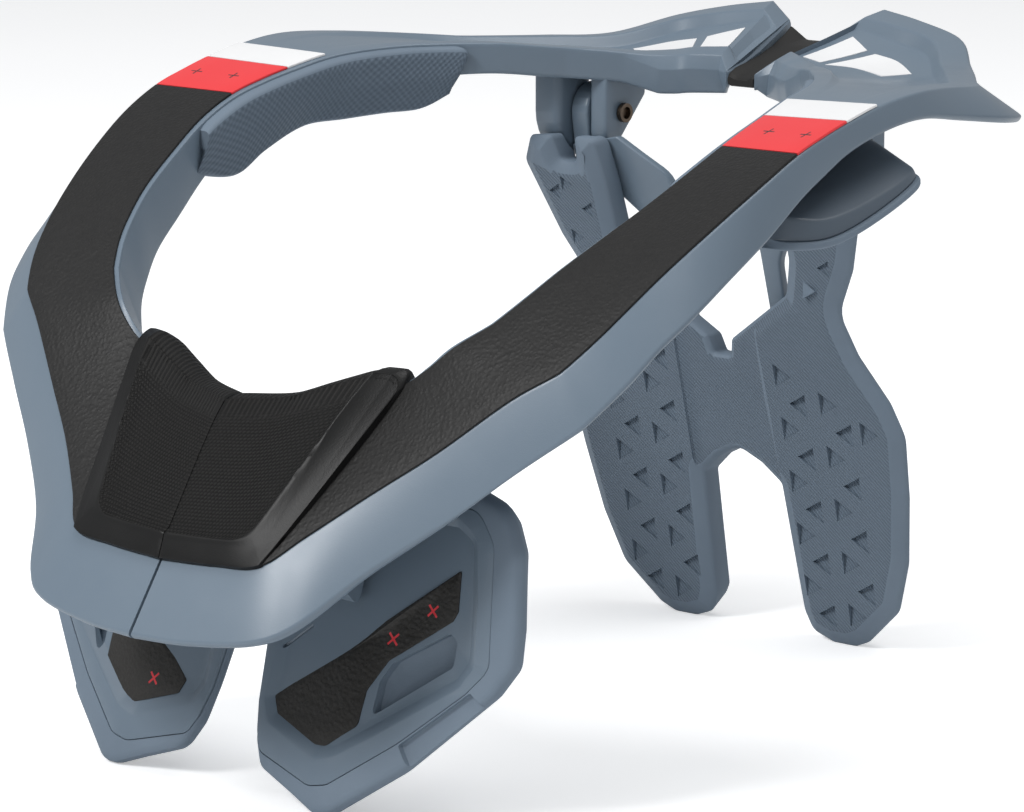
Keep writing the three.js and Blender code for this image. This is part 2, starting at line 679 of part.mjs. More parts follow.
// Sections of one half of the back pad from the ground up, as shares of its rise and span:
// the height, the inner and the outer edge. web is 1 where the half runs over the mirror plane.
const BACK_PAD = [
  { up: 0, inner: 0.43, outer: 0.54, web: 0 },
  { up: 0.02, inner: 0.31, outer: 0.635, web: 0 },
  { up: 0.048, inner: 0.275, outer: 0.71, web: 0 },
  { up: 0.076, inner: 0.268, outer: 0.8, web: 0 },
  { up: 0.108, inner: 0.264, outer: 0.85, web: 0 },
  { up: 0.215, inner: 0.25, outer: 0.934, web: 0 },
  { up: 0.325, inner: 0.232, outer: 0.97, web: 0 },
  { up: 0.357, inner: 0.13, outer: 0.975, web: 0 },
  { up: 0.385, inner: 0, outer: 0.98, web: 1 },
  { up: 0.471, inner: 0, outer: 1, web: 1 },
  { up: 0.522, inner: 0, outer: 0.954, web: 1 },
  { up: 0.58, inner: 0, outer: 0.87, web: 1 },
  { up: 0.61, inner: 0.06, outer: 0.83, web: 0 },
  { up: 0.66, inner: 0.23, outer: 0.768, web: 0 },
  { up: 0.698, inner: 0.38, outer: 0.734, web: 0 },
  { up: 0.726, inner: 0.458, outer: 0.765, web: 0 },
  { up: 0.8, inner: 0.504, outer: 0.862, web: 0 },
  { up: 0.9, inner: 0.504, outer: 0.958, web: 0 },
  { up: 0.943, inner: 0.504, outer: 0.99, web: 0 },
  { up: 0.97, inner: 0.51, outer: 0.975, web: 0 },
  { up: 1, inner: 0.54, outer: 0.9, web: 0 },
];

function backPadHalf() {
  const rings = BACK_PAD.map(({ up, inner, outer, web }) => {
    const z = up * BACK_RISE;
    const from = web ? -BACK_BEVEL : inner * BLADE_SPAN;
    const to = outer * BLADE_SPAN;
    const face = backFace(z);
    const back = face + BACK_FOAM;
    const step = Math.min(BACK_BEVEL, (to - from) / 4);
    return [
      vector(from, back, z),
      vector(from, web ? face : face + BACK_BEVEL / 2, z),
      vector(from + step, face, z),
      vector(to - step, face, z),
      vector(to, face + BACK_BEVEL / 2, z),
      vector(to, back, z),
    ];
  });
  return solid(loft(rings));
}

// Columns of triangular pockets in a blade: the way across and the lowest pocket's height,
// as shares of the span and the rise, the side it points to, how many, and their size.
const POCKETS = [
  { across: 0.34, up: 0.116, points: 1, count: 5, size: 1 },
  { across: 0.44, up: 0.062, points: -1, count: 5, size: 1 },
  { across: 0.585, up: 0.071, points: 1, count: 5, size: 1 },
  { across: 0.685, up: 0.123, points: -1, count: 4, size: 1 },
  { across: 0.8, up: 0.46, points: 1, count: 1, size: 1 },
  { across: 0.62, up: 0.74, points: 1, count: 2, size: 0.7 },
  { across: 0.74, up: 0.79, points: -1, count: 2, size: 0.7 },
];

function pockets() {
  const cuts = POCKETS.flatMap(({ across, up, points, count, size }) =>
    Array.from({ length: count }, (unused, row) => {
      const x = across * BLADE_SPAN;
      const z = up * BACK_RISE + row * POCKET_PITCH;
      const reach = (POCKET_REACH / 2) * size * points;
      const side = (POCKET_SIDE / 2) * size;
      const corners = [
        [x - reach, z + side],
        [x - reach, z - side],
        [x + reach, z - side / 3],
      ];
      const ring = (deep) => corners.map(([a, b]) => vector(a, backFace(b) + deep, b));
      return solid(loft([ring(-POCKET_DEPTH), ring(POCKET_DEPTH)]));
    }),
  );
  return wasm.Manifold.union(cuts);
}

function backPad() {
  const half = backPadHalf().subtract(pockets());
  const slotFrom = tongueFrom - SLOT_FIT;
  const slotTo = tongueTo + SLOT_FIT;
  const low = SLOT_FLOOR * BACK_RISE;
  const slot = [
    [backFace(low) - BACK_FOAM, low],
    [backFace(low) + 2 * BACK_FOAM, low],
    [backFace(low) + 2 * BACK_FOAM, BACK_RISE + BACK_FOAM],
    [backFace(low) - 2 * BACK_FOAM, BACK_RISE + BACK_FOAM],
  ];
  const slotted = half.subtract(solid(plateAcross(slot, slotFrom, slotTo)));
  const clear = 2 * FIT;
  const ears = pin(innerEarFrom - clear, outerEarTo + clear, pivotY, PIVOT_HEIGHT, EAR_RADIUS + clear);
  const cut = largest(slotted.subtract(solid(ears)));
  const other = solid(mirrored(geometryOf(cut)));
  return geometryOf(cut.add(other));
}

// Sections of a strut's plate behind the pad from its foot up, as shares of the pad's rise
// and span: the height, the inner and the outer edge.
const STRUT = [
  [0.1, 0.42, 0.68],
  [0.14, 0.36, 0.76],
  [0.25, 0.33, 0.85],
  [0.36, 0.29, 0.88],
  [0.45, 0.25, 0.84],
  [0.52, 0.15, 0.68],
  [0.58, 0.09, 0.42],
  [0.64, 0.09, 0.28],
  [0.7, 0.1, 0.27],
  [0.77, 0.11, 0.3],
  [0.83, 0.17, 0.4],
  [0.89, 0.3, 0.58],
  [0.94, 0.46, 0.72],
  [0.97, 0.55, 0.78],
];

function rearStrut() {
  const rings = STRUT.map(([up, inner, outer]) => {
    const z = up * BACK_RISE;
    const front = backFace(z) + BACK_FOAM + FIT;
    const back = front + STRUT_THICKNESS;
    const from = inner * BLADE_SPAN;
    const to = outer * BLADE_SPAN;
    return [vector(from, front, z), vector(to, front, z), vector(to, back, z), vector(from, back, z)];
  });
  const radius = TONGUE_RADIUS;
  const foot = STRUT_TOP * BACK_RISE;
  const footFront = backFace(foot) + BACK_FOAM + FIT;
  const outline = [
    ...arc(pivotY, PIVOT_HEIGHT, radius, 0, Math.PI, 10),
    [footFront, foot],
    [footFront + radius, foot],
  ];
  const tongue = solid(plateAcross(outline, tongueFrom, tongueTo));
  const bore = pin(tongueFrom - 1, tongueTo + 1, pivotY, PIVOT_HEIGHT, SCREW_RADIUS + FIT);
  return geometryOf(solid(loft(rings)).add(tongue).subtract(solid(bore)));
}

// The screw that the strut turns on, headed on the side towards the mirror plane.
function pivotScrew() {
  const headTo = innerEarFrom - FIT;
  const head = solid(pin(headTo - SCREW_HEAD, headTo, pivotY, PIVOT_HEIGHT, SCREW_HEAD_RADIUS));
  const shank = solid(pin(headTo - 1, screwEnd, pivotY, PIVOT_HEIGHT, SCREW_RADIUS));
  return geometryOf(head.add(shank));
}

const parts = new THREE.Group();

function add(name, geometry, material) {
  const mesh = new THREE.Mesh(geometry, material);
  mesh.name = name;
  parts.add(mesh);
}

// Adds a piece on the rider's left, +X, and its mirror image on the right.
function addPair(name, geometry, material) {
  add(`${name}_left`, geometry, material);
  add(`${name}_right`, mirrored(geometry), material);
}

addPair("collar_half", collarHalf(), MOULDED);
addPair("side_panel", topSheet(SEAM_ROW, RED_ROW - BAND_GAP), LEATHER);
addPair("red_band", topSheet(RED_ROW, WHITE_ROW - BAND_GAP), RED);
addPair("white_band", topSheet(WHITE_ROW, BARE_ROW), WHITE);
addPair("chin_pad", chinPad(), WEAVE);
add("rear_bridge", rearBridge(), RUBBER);
addPair("shoulder_foam", shoulderFoam(), FOAM);
addPair("shoulder_shell", shoulderShell(), MOULDED);
addPair("chest_bracket", chestBracket(), MOULDED);
addPair("chest_shell", chestShell(), MOULDED);
addPair("chest_foam", chestFoam(), FOAM);
addPair("chest_sticker", chestPlate(STICKER_OUTLINE, -FIT - STICKER, -FIT), LEATHER);
addPair("pivot_screw", pivotScrew(), METAL);
addPair("rear_strut", rearStrut(), MOULDED);
add("back_pad", backPad(), FOAM);

export default parts;
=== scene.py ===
"""A rigid neck brace for off-road riding, standing on its chest feet and its back blades."""

from __future__ import annotations

import logging
import math
from dataclasses import dataclass, field
from enum import Enum
from typing import Callable, Sequence

import bmesh
import bpy
import numpy as np
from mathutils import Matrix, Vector
from mathutils.geometry import delaunay_2d_cdt

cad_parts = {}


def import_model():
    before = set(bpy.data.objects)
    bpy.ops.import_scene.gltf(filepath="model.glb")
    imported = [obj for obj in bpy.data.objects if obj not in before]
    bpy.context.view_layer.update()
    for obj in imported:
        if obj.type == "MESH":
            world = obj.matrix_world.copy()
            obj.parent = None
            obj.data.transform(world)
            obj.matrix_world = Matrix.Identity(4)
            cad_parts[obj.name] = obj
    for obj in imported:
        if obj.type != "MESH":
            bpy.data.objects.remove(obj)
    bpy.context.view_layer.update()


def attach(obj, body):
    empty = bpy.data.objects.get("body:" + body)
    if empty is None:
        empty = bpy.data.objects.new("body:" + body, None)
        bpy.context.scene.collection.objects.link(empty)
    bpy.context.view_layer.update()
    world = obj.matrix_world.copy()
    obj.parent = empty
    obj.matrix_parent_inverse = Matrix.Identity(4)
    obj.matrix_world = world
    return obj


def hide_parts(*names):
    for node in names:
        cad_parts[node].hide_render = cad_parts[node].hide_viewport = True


LOG = logging.getLogger("neck_brace")
MM = 0.001
COLLAR_BODY = "collar"
BACK_BODY = "back_unit"


class Side(Enum):
    """The rider's two sides: the sign of X and the ending of the names."""

    LEFT = ("left", 1)
    RIGHT = ("right", -1)

    @property
    def label(self) -> str:
        """The ending that a piece of this side has in its name."""
        return self.value[0]

    @property
    def sign(self) -> int:
        """The sign of X on this side."""
        return self.value[1]


# Shapes.


Place = tuple[float, float, float]
Layout = Callable[[float, float, float], Place]
Outline = tuple[tuple[float, float, float], ...]
UP = np.array([0, 0, 1.0])
TINY = 1e-6
EDGE_SHARE = 0.46
LEAST_TURN = 0.05
LEAST_STRETCH = 0.35
LEAST_RADIUS = 0.15
ROW_SHARE = 0.87
CLEAR_SHARE = 0.45
MERGE = 1e-5
WELD = 1e-7


def unit(way: np.ndarray) -> np.ndarray:
    """A way of length one."""
    return way / np.linalg.norm(way)


def levelled(way: np.ndarray) -> np.ndarray:
    """The level part of a way, of length one."""
    return unit(way * (1, 1, 0))


def clamp(value: float, low: float = 0.0, high: float = 1.0) -> float:
    """The value, kept between two limits."""
    return max(low, min(high, value))


def circle(centre: tuple[float, float], radius: float, start: float, turn: float, steps: int) -> list:
    """Flat places on an arc, both ends included."""
    turns = [start + turn * k / steps for k in range(steps + 1)]
    return [(centre[0] + radius * math.cos(t), centre[1] + radius * math.sin(t)) for t in turns]


def fillet(corners: np.ndarray, radii: Sequence[float], steps: int = 4) -> np.ndarray:
    """Rounds the corners of a closed outline.

    Args:
        corners: the outline's corners, in two or three dimensions.
        radii: the rounding of each corner.
        steps: stretches in each rounding.

    Returns:
        The rounded outline, with steps + 1 points for each corner.
    """
    points = []
    count = len(corners)
    for index, corner in enumerate(corners):
        before = corners[index - 1] - corner
        after = corners[(index + 1) % count] - corner
        length_before = max(float(np.linalg.norm(before)), TINY)
        length_after = max(float(np.linalg.norm(after)), TINY)
        cosine = float(before @ after) / (length_before * length_after)
        half = math.acos(clamp(cosine, -1.0)) / 2
        cut_back = radii[index] / max(math.tan(half), LEAST_TURN)
        start = corner + before / length_before * min(cut_back, EDGE_SHARE * length_before)
        end = corner + after / length_after * min(cut_back, EDGE_SHARE * length_after)
        for step in range(steps + 1):
            t = step / steps
            points.append((1 - t) ** 2 * start + 2 * t * (1 - t) * corner + t * t * end)
    return np.array(points)


def inset(corners: np.ndarray, way: float) -> np.ndarray:
    """Moves each edge of a flat, counter-clockwise outline inwards by a way."""
    before = np.roll(corners, 1, axis=0)
    after = np.roll(corners, -1, axis=0)

    def inward(start: np.ndarray, end: np.ndarray) -> np.ndarray:
        """The unit vector square to each edge, to its left."""
        edge = end - start
        edge = edge / np.maximum(np.linalg.norm(edge, axis=1, keepdims=True), TINY)
        return np.stack([-edge[:, 1], edge[:, 0]], axis=1)

    one = inward(before, corners)
    two = inward(corners, after)
    bisector = one + two
    length = np.maximum(np.linalg.norm(bisector, axis=1, keepdims=True), TINY)
    bisector = bisector / length
    stretch = np.maximum((bisector * one).sum(axis=1, keepdims=True), LEAST_STRETCH)
    return corners + bisector * way / stretch


def turned_left(corners: np.ndarray) -> np.ndarray:
    """The outline in counter-clockwise order."""
    x, y = corners[:, 0], corners[:, 1]
    area = float((x * np.roll(y, -1) - np.roll(x, -1) * y).sum())
    return corners if area > 0 else corners[::-1]


def convex_corners(corners: np.ndarray) -> np.ndarray:
    """For each corner of a counter-clockwise outline, whether it points outwards."""
    before = corners - np.roll(corners, 1, axis=0)
    after = np.roll(corners, -1, axis=0) - corners
    return (before[:, 0] * after[:, 1] - before[:, 1] * after[:, 0]) > 0


class Draft:
    """One piece while it is made: vertices, faces, the faces' finishes and their UVs."""

    def __init__(self) -> None:
        """Starts empty."""
        self.points: list[np.ndarray] = []
        self.faces: list[list[int]] = []
        self.slots: list[int] = []
        self.uvs: list[list[tuple[float, float]]] = []
        self.marks: dict[int, tuple[float, float]] = {}

    def add_points(self, points: np.ndarray) -> int:
        """Adds points in millimetres and returns the number of the first."""
        first = len(self.points)
        self.points.extend(np.asarray(points, dtype=float))
        return first

    def add_face(self, face: list[int], slot: int = 0, uv: list | None = None) -> None:
        """Adds one face with its finish and UVs."""
        self.faces.append(face)
        self.slots.append(slot)
        self.uvs.append(uv or [(0.0, 0.0)] * len(face))

    def add_tube(
        self,
        rings: np.ndarray,
        capped: bool = True,
        slot_of: Callable[[int, int], int] | None = None,
    ) -> None:
        """Joins rings of as many points each into a tube.

        Args:
            rings: the points, ring by ring.
            capped: whether the two ends are filled.
            slot_of: the finish of a face from its ring and its place in the ring.
        """
        count, around = rings.shape[:2]
        first = self.add_points(rings.reshape(-1, 3))
        steps = np.linalg.norm(np.roll(rings, -1, axis=1) - rings, axis=2)
        across = np.concatenate([np.zeros((count, 1)), np.cumsum(steps, axis=1)], axis=1)
        middle = rings.mean(axis=1)
        run = np.concatenate([[0], np.cumsum(np.linalg.norm(np.diff(middle, axis=0), axis=1))])
        for ring in range(count - 1):
            for place in range(around):
                after = (place + 1) % around
                a = first + ring * around + place
                b = first + ring * around + after
                face = [a, b, b + around, a + around]
                uv = [
                    (across[ring, place], run[ring]),
                    (across[ring, place + 1], run[ring]),
                    (across[ring + 1, place + 1], run[ring + 1]),
                    (across[ring + 1, place], run[ring + 1]),
                ]
                self.add_face(face, slot_of(ring, place) if slot_of else 0, uv)
        if capped:
            last = first + (count - 1) * around
            self.add_face([first + place for place in reversed(range(around))])
            self.add_face([last + place for place in range(around)])

    def make(
        self,
        name: str,
        finishes: Sequence[bpy.types.Material],
        side: Side = Side.LEFT,
        sharp: float = 32.0,
    ) -> bpy.types.Object:
        """Turns the draft into an object.

        Args:
            name: the piece's name.
            finishes: its materials, in the order of the faces' numbers.
            side: the side it is made for; the right side is the mirror image.
            sharp: edges that bend by more than this, in degrees, stay sharp.

        Returns:
            The object, at the origin, in metres.
        """
        mesh = bpy.data.meshes.new(name)
        points = np.array(self.points) * MM
        points[:, 0] *= side.sign
        mesh.from_pydata([tuple(point) for point in points], [], self.faces)
        layer = mesh.uv_layers.new(name="surface")
        flat = [value for face in self.uvs for corner in face for value in corner]
        layer.data.foreach_set("uv", flat)
        if self.marks:
            ways = mesh.uv_layers.new(name="ways")
            corners = [self.marks.get(point, (0, 0)) for face in self.faces for point in face]
            flat = [value for corner in corners for value in corner]
            ways.data.foreach_set("uv", flat)
        mesh.polygons.foreach_set("material_index", self.slots)
        for finish in finishes:
            mesh.materials.append(finish)
        work = bmesh.new()
        work.from_mesh(mesh)
        bmesh.ops.remove_doubles(work, verts=work.verts, dist=WELD)
        bmesh.ops.recalc_face_normals(work, faces=work.faces)
        work.to_mesh(mesh)
        work.free()
        mesh.shade_smooth()
        mesh.set_sharp_from_angle(angle=math.radians(sharp))
        obj = bpy.data.objects.new(name, mesh)
        bpy.context.scene.collection.objects.link(obj)
        return obj


@dataclass
class Slab:
    """A plate with rounded edges, made from a flat outline that is laid on a surface.

    Attributes:
        corners: the outline, in the two flat directions, in millimetres.
        radii: the rounding of each corner.
        to_space: the point in space of a flat place and a depth behind the face.
        thickness: from the face to the back.
        front: the rounding of the edge at the face.
        back: the rounding of the edge at the back.
        pitch: the distance of the points that carry a bent face.
        steps: stretches in each rounded corner.
        profile: ways inwards and depths, from the back's rim round the edge to the face's rim, or
            none for the plain rounded edge.
    """

    corners: np.ndarray
    radii: Sequence[float] | float
    to_space: Layout
    thickness: float
    front: float = 1.0
    back: float = 0.6
    pitch: float = 4.0
    steps: int = 5
    profile: Sequence[tuple[float, float]] | None = None

    def ring(self, way: float) -> np.ndarray:
        """The rounded outline, moved inwards by a way."""
        corners = turned_left(np.asarray(self.corners, dtype=float))
        if isinstance(self.radii, (int, float)):
            radii = np.full(len(corners), float(self.radii))
        else:
            radii = np.asarray(self.radii, dtype=float)
            if not np.array_equal(corners, self.corners):
                radii = radii[::-1]
        signs = np.where(convex_corners(corners), -1.0, 1.0)
        return fillet(inset(corners, way), np.maximum(radii + signs * way, LEAST_RADIUS), self.steps)

    def rounded_edge(self) -> list[tuple[float, float]]:
        """Ways inwards and depths of a plain rounded edge, from the back's rim to the face's."""
        turns = [math.radians(angle) for angle in (90, 60, 30, 0)]
        back = [
            (self.back * (1 - math.cos(t)), self.thickness - self.back * (1 - math.sin(t)))
            for t in turns
        ]
        front = [
            (self.front * (1 - math.cos(t)), self.front * (1 - math.sin(t)))
            for t in reversed(turns)
        ]
        return back + front

    def cap(self, draft: Draft, ring: np.ndarray, first: int, depth: float, flip: bool) -> None:
        """Fills the inside of a ring with a net of triangles.

        Args:
            draft: the draft that the ring is already in.
            ring: the ring's flat places.
            first: the number of the ring's first point.
            depth: the depth of the fill.
            flip: whether its faces look the other way.
        """
        low, high = ring.min(axis=0), ring.max(axis=0)
        inner = self.ring_inside(ring)
        places = [Vector(place) for place in ring]
        faces = [list(range(len(ring)))]
        row = 0
        y = low[1] + self.pitch / 2
        while y < high[1]:
            x = low[0] + self.pitch / (2 if row % 2 else 1)
            while x < high[0]:
                if inner(x, y):
                    places.append(Vector((x, y)))
                x += self.pitch
            y += self.pitch * ROW_SHARE
            row += 1
        verts, _, triangles, origins, _, _ = delaunay_2d_cdt(places, [], faces, 1, MERGE)
        numbers = []
        for vert, origin in zip(verts, origins):
            ringed = [k for k in origin if k < len(ring)]
            if ringed:
                numbers.append(first + ringed[0])
                continue
            numbers.append(draft.add_points(np.array([self.to_space(vert.x, vert.y, depth)])))
        for triangle in triangles:
            face = [numbers[k] for k in triangle]
            uv = [(verts[k].x, verts[k].y) for k in triangle]
            if flip:
                face.reverse()
                uv.reverse()
            draft.add_face(face, 0, uv)

    def ring_inside(self, ring: np.ndarray) -> Callable[[float, float], bool]:
        """A test of whether a place is inside the ring and clear of its edge."""
        start = ring
        end = np.roll(ring, -1, axis=0)
        edge = end - start
        size = np.maximum((edge**2).sum(axis=1), TINY**2)
        clear = CLEAR_SHARE * self.pitch

        def inside(x: float, y: float) -> bool:
            """Whether the place is inside and clear."""
            place = np.array([x, y])
            share = np.clip(((place - start) * edge).sum(axis=1) / size, 0, 1)
            nearest = start + edge * share[:, None]
            if float(((nearest - place) ** 2).sum(axis=1).min()) < clear * clear:
                return False
            crosses = (start[:, 1] > y) != (end[:, 1] > y)
            slope = np.where(edge[:, 1] == 0, TINY**2, edge[:, 1])
            at = start[:, 0] + (y - start[:, 1]) * edge[:, 0] / slope
            return bool((crosses & (at > x)).sum() % 2)

        return inside

    def add_to(self, draft: Draft) -> None:
        """Adds the slab to a draft."""
        steps = self.profile or self.rounded_edge()
        flats = [self.ring(way) for way, _ in steps]
        firsts = []
        for flat, (_, depth) in zip(flats, steps):
            ring = np.array([self.to_space(x, y, depth) for x, y in flat])
            firsts.append(draft.add_points(ring))
        around = len(flats[0])
        for level in range(len(steps) - 1):
            for place in range(around):
                after = (place + 1) % around
                face = [
                    firsts[level] + place,
                    firsts[level] + after,
                    firsts[level + 1] + after,
                    firsts[level + 1] + place,
                ]
                one, two = flats[level][place], flats[level][after]
                deep, shallow = steps[level][1], steps[level + 1][1]
                uv = [
                    (one[0] + deep, one[1]),
                    (two[0] + deep, two[1]),
                    (two[0] + shallow, two[1]),
                    (one[0] + shallow, one[1]),
                ]
                draft.add_face(face, 0, uv)
        self.cap(draft, flats[-1], firsts[-1], steps[-1][1], False)
        self.cap(draft, flats[0], firsts[0], steps[0][1], True)


def cut(obj: bpy.types.Object, *tools: bpy.types.Object) -> None:
    """Cuts other objects out of one and removes them."""
    for tool in tools:
        modifier = obj.modifiers.new("cut", "BOOLEAN")
        modifier.operation = "DIFFERENCE"
        modifier.solver = "EXACT"
        modifier.object = tool
    settled(obj)
    for tool in tools:
        bpy.data.objects.remove(tool)


def settled(obj: bpy.types.Object, sharp: float = 32.0) -> None:
    """Makes what an object's modifiers give its own mesh."""
    graph = bpy.context.evaluated_depsgraph_get()
    mesh = bpy.data.meshes.new_from_object(obj.evaluated_get(graph))
    obj.modifiers.clear()
    obj.data = mesh
    mesh.shade_smooth()
    mesh.set_sharp_from_angle(angle=math.radians(sharp))


# Finishes.


class Wire:
    """A number that runs through a material's nodes, for sums written as Python."""

    def __init__(self, nodes: "Nodes", socket: bpy.types.NodeSocket) -> None:
        """Wraps an output socket."""
        self.nodes = nodes
        self.socket = socket

    def math(self, operation: str, *others: "Wire | float", swap: bool = False) -> "Wire":
        """A Math node on this number and others."""
        terms = [self, *others]
        if swap:
            terms.reverse()
        inputs = {index: term for index, term in enumerate(terms)}
        return self.nodes.node("ShaderNodeMath", {"operation": operation}, inputs)

    def __add__(self, other: "Wire | float") -> "Wire":
        """The sum."""
        return self.math("ADD", other)

    __radd__ = __add__

    def __mul__(self, other: "Wire | float") -> "Wire":
        """The product."""
        return self.math("MULTIPLY", other)

    __rmul__ = __mul__

    def __sub__(self, other: "Wire | float") -> "Wire":
        """The difference."""
        return self.math("SUBTRACT", other)

    def __rsub__(self, other: float) -> "Wire":
        """The difference from a plain number."""
        return self.math("SUBTRACT", other, swap=True)

    def __truediv__(self, other: "Wire | float") -> "Wire":
        """The quotient."""
        return self.math("DIVIDE", other)

    def sin(self) -> "Wire":
        """The sine."""
        return self.math("SINE")

    def fract(self) -> "Wire":
        """What follows the whole number."""
        return self.math("FRACT")

    def floor(self) -> "Wire":
        """The whole number below."""
        return self.math("FLOOR")

    def abs(self) -> "Wire":
        """The size without the sign."""
        return self.math("ABSOLUTE")

    def above(self, limit: "Wire | float") -> "Wire":
        """1 where the number is over a limit, else 0."""
        return self.math("GREATER_THAN", limit)

    def below(self, limit: "Wire | float") -> "Wire":
        """1 where the number is under a limit, else 0."""
        return self.math("LESS_THAN", limit)

    def larger(self, other: "Wire | float") -> "Wire":
        """The larger of two numbers."""
        return self.math("MAXIMUM", other)

    def clamped(self) -> "Wire":
        """The number, kept between 0 and 1."""
        return self.math("MINIMUM", 1.0).math("MAXIMUM", 0.0)


class Nodes:
    """The node tree of one material."""

    def __init__(self, name: str) -> None:
        """Starts a material with its two standing nodes."""
        self.material = bpy.data.materials.new(name)
        self.material.use_nodes = True
        self.tree = self.material.node_tree
        self.shader = self.tree.nodes["Principled BSDF"]

    def node(
        self, kind: str, settings: dict | None = None, inputs: dict | None = None, output: int | str = 0
    ) -> Wire:
        """Adds a node.

        Args:
            kind: the node's type.
            settings: attributes to set first.
            inputs: values or wires by socket name or number.
            output: the output that is returned.

        Returns:
            The output as a wire.
        """
        made = self.tree.nodes.new(kind)
        for key, value in (settings or {}).items():
            setattr(made, key, value)
        for key, value in (inputs or {}).items():
            self.feed(made.inputs[key], value)
        return Wire(self, made.outputs[output])

    def feed(self, socket: bpy.types.NodeSocket, value: object) -> None:
        """Gives a socket a value or a link."""
        if isinstance(value, Wire):
            self.tree.links.new(value.socket, socket)
        else:
            socket.default_value = value

    def place(self) -> Wire:
        """The place on the object, in metres."""
        return self.node("ShaderNodeTexCoord", output="Object")

    def surface(self, layer: str = "surface") -> tuple[Wire, Wire]:
        """The two ways over the surface, in millimetres."""
        uv = self.node("ShaderNodeUVMap", {"uv_map": layer})
        split = self.node("ShaderNodeSeparateXYZ", inputs={0: uv})
        return split, Wire(self, split.socket.node.outputs[1])

    def noise(self, scale: float, detail: float = 2.0, roughness: float = 0.5) -> Wire:
        """Soft noise from 0 to 1, in cycles to the metre."""
        inputs = {"Vector": self.place(), "Scale": scale, "Detail": detail, "Roughness": roughness}
        return self.node("ShaderNodeTexNoise", inputs=inputs)

    def pebbles(self, scale: float) -> Wire:
        """Distance to the nearest cell's middle, blended softly from cell to cell."""
        inputs = {"Vector": self.place(), "Scale": scale}
        return self.node("ShaderNodeTexVoronoi", {"feature": "SMOOTH_F1"}, inputs)

    def mix(self, share: Wire | float, one: object, two: object) -> Wire:
        """A colour between two colours, by the colour sockets' numbers on the node."""
        settings = {"data_type": "RGBA"}
        return self.node("ShaderNodeMix", settings, {0: share, 6: one, 7: two}, output=2)

    def bump(self, height: Wire, strength: float, distance: float) -> Wire:
        """A bump from a height between 0 and 1."""
        inputs = {"Height": height, "Strength": strength, "Distance": distance}
        return self.node("ShaderNodeBump", inputs=inputs)

    def finish(self, **inputs: object) -> bpy.types.Material:
        """Feeds the shader's sockets, by name with underscores for spaces."""
        for key, value in inputs.items():
            self.feed(self.shader.inputs[key.replace("_", " ")], value)
        return self.material


Colour = tuple[float, float, float, float]
DIAGONAL = math.sqrt(0.5)


def shade(red: int, green: int, blue: int) -> Colour:
    """A colour of the screen, as linear light by the sRGB curve."""
    linear = [((value / 255 + 0.055) / 1.055) ** 2.4 for value in (red, green, blue)]
    return (linear[0], linear[1], linear[2], 1.0)


@dataclass(frozen=True)
class Moulding:
    """Satin moulded plastic with a fine spark-eroded grain and rubbed patches."""

    name: str = "moulded_plastic"
    colour: Colour = shade(101, 116, 130)
    pale: Colour = shade(110, 124, 137)
    roughness: float = 0.34

    def build(self) -> bpy.types.Material:
        """The material."""
        nodes = Nodes(self.name)
        cloud = nodes.noise(14.0, 3.0)
        rub = nodes.noise(90.0, 4.0, 0.7)
        grain = nodes.noise(2600.0, 2.0)
        colour = nodes.mix((cloud * 0.7 + rub * 0.3).clamped(), self.colour, self.pale)
        rough = self.roughness + (rub - 0.5) * 0.12
        normal = nodes.bump(grain, 0.16, 0.00012)
        return nodes.finish(Base_Color=colour, Roughness=rough, Normal=normal, Specular_IOR_Level=0.45)


@dataclass(frozen=True)
class WovenFoam:
    """Moulded foam whose skin carries a fine diagonal rib."""

    name: str
    pitch: float
    cross: float
    colour: Colour = shade(106, 120, 134)
    dark: Colour = shade(80, 93, 106)

    def build(self) -> bpy.types.Material:
        """The material."""
        nodes = Nodes(self.name)
        across, along = nodes.surface()
        turn = 2 * math.pi / self.pitch * DIAGONAL
        rib = ((across + along) * turn).sin() * 0.5 + 0.5
        counter = ((across - along) * turn).sin() * 0.5 + 0.5
        weave = rib * (1 - self.cross) + counter * self.cross
        cloud = nodes.noise(30.0, 3.0)
        tone = (weave * 0.75 + cloud * 0.25).clamped()
        colour = nodes.mix(tone, self.dark, self.colour)
        normal = nodes.bump(weave, 0.55, 0.0004)
        return nodes.finish(
            Base_Color=colour,
            Roughness=0.74 - weave * 0.12,
            Normal=normal,
            Specular_IOR_Level=0.3,
            Sheen_Weight=0.08,
        )


@dataclass(frozen=True)
class SmoothFoam:
    """The smooth skin of moulded foam, at its edges and back."""

    name: str = "smooth_foam"
    colour: Colour = shade(114, 128, 142)
    dark: Colour = shade(103, 117, 131)

    def build(self) -> bpy.types.Material:
        """The material."""
        nodes = Nodes(self.name)
        cloud = nodes.noise(45.0, 3.0)
        pores = nodes.noise(1500.0, 3.0, 0.6)
        colour = nodes.mix(cloud, self.dark, self.colour)
        normal = nodes.bump(pores, 0.22, 0.0002)
        return nodes.finish(Base_Color=colour, Roughness=0.62, Normal=normal, Specular_IOR_Level=0.35)


@dataclass(frozen=True)
class GrainedSkin:
    """Black skin with a pebbled leather grain."""

    name: str = "grained_skin"
    colour: Colour = shade(20, 20, 20)
    pale: Colour = shade(44, 43, 42)

    def build(self) -> bpy.types.Material:
        """The material."""
        nodes = Nodes(self.name)
        warp = nodes.noise(500.0, 2.0)
        pebble = nodes.pebbles(950.0)
        fine = nodes.noise(1900.0, 3.0, 0.6)
        height = (1 - pebble) * 0.6 + fine * 0.25 + warp * 0.15
        colour = nodes.mix((fine * 0.6 + warp * 0.4 - 0.2).clamped(), self.colour, self.pale)
        normal = nodes.bump(height, 0.75, 0.00045)
        return nodes.finish(
            Base_Color=colour, Roughness=0.46 + pebble * 0.15, Normal=normal, Specular_IOR_Level=0.32
        )


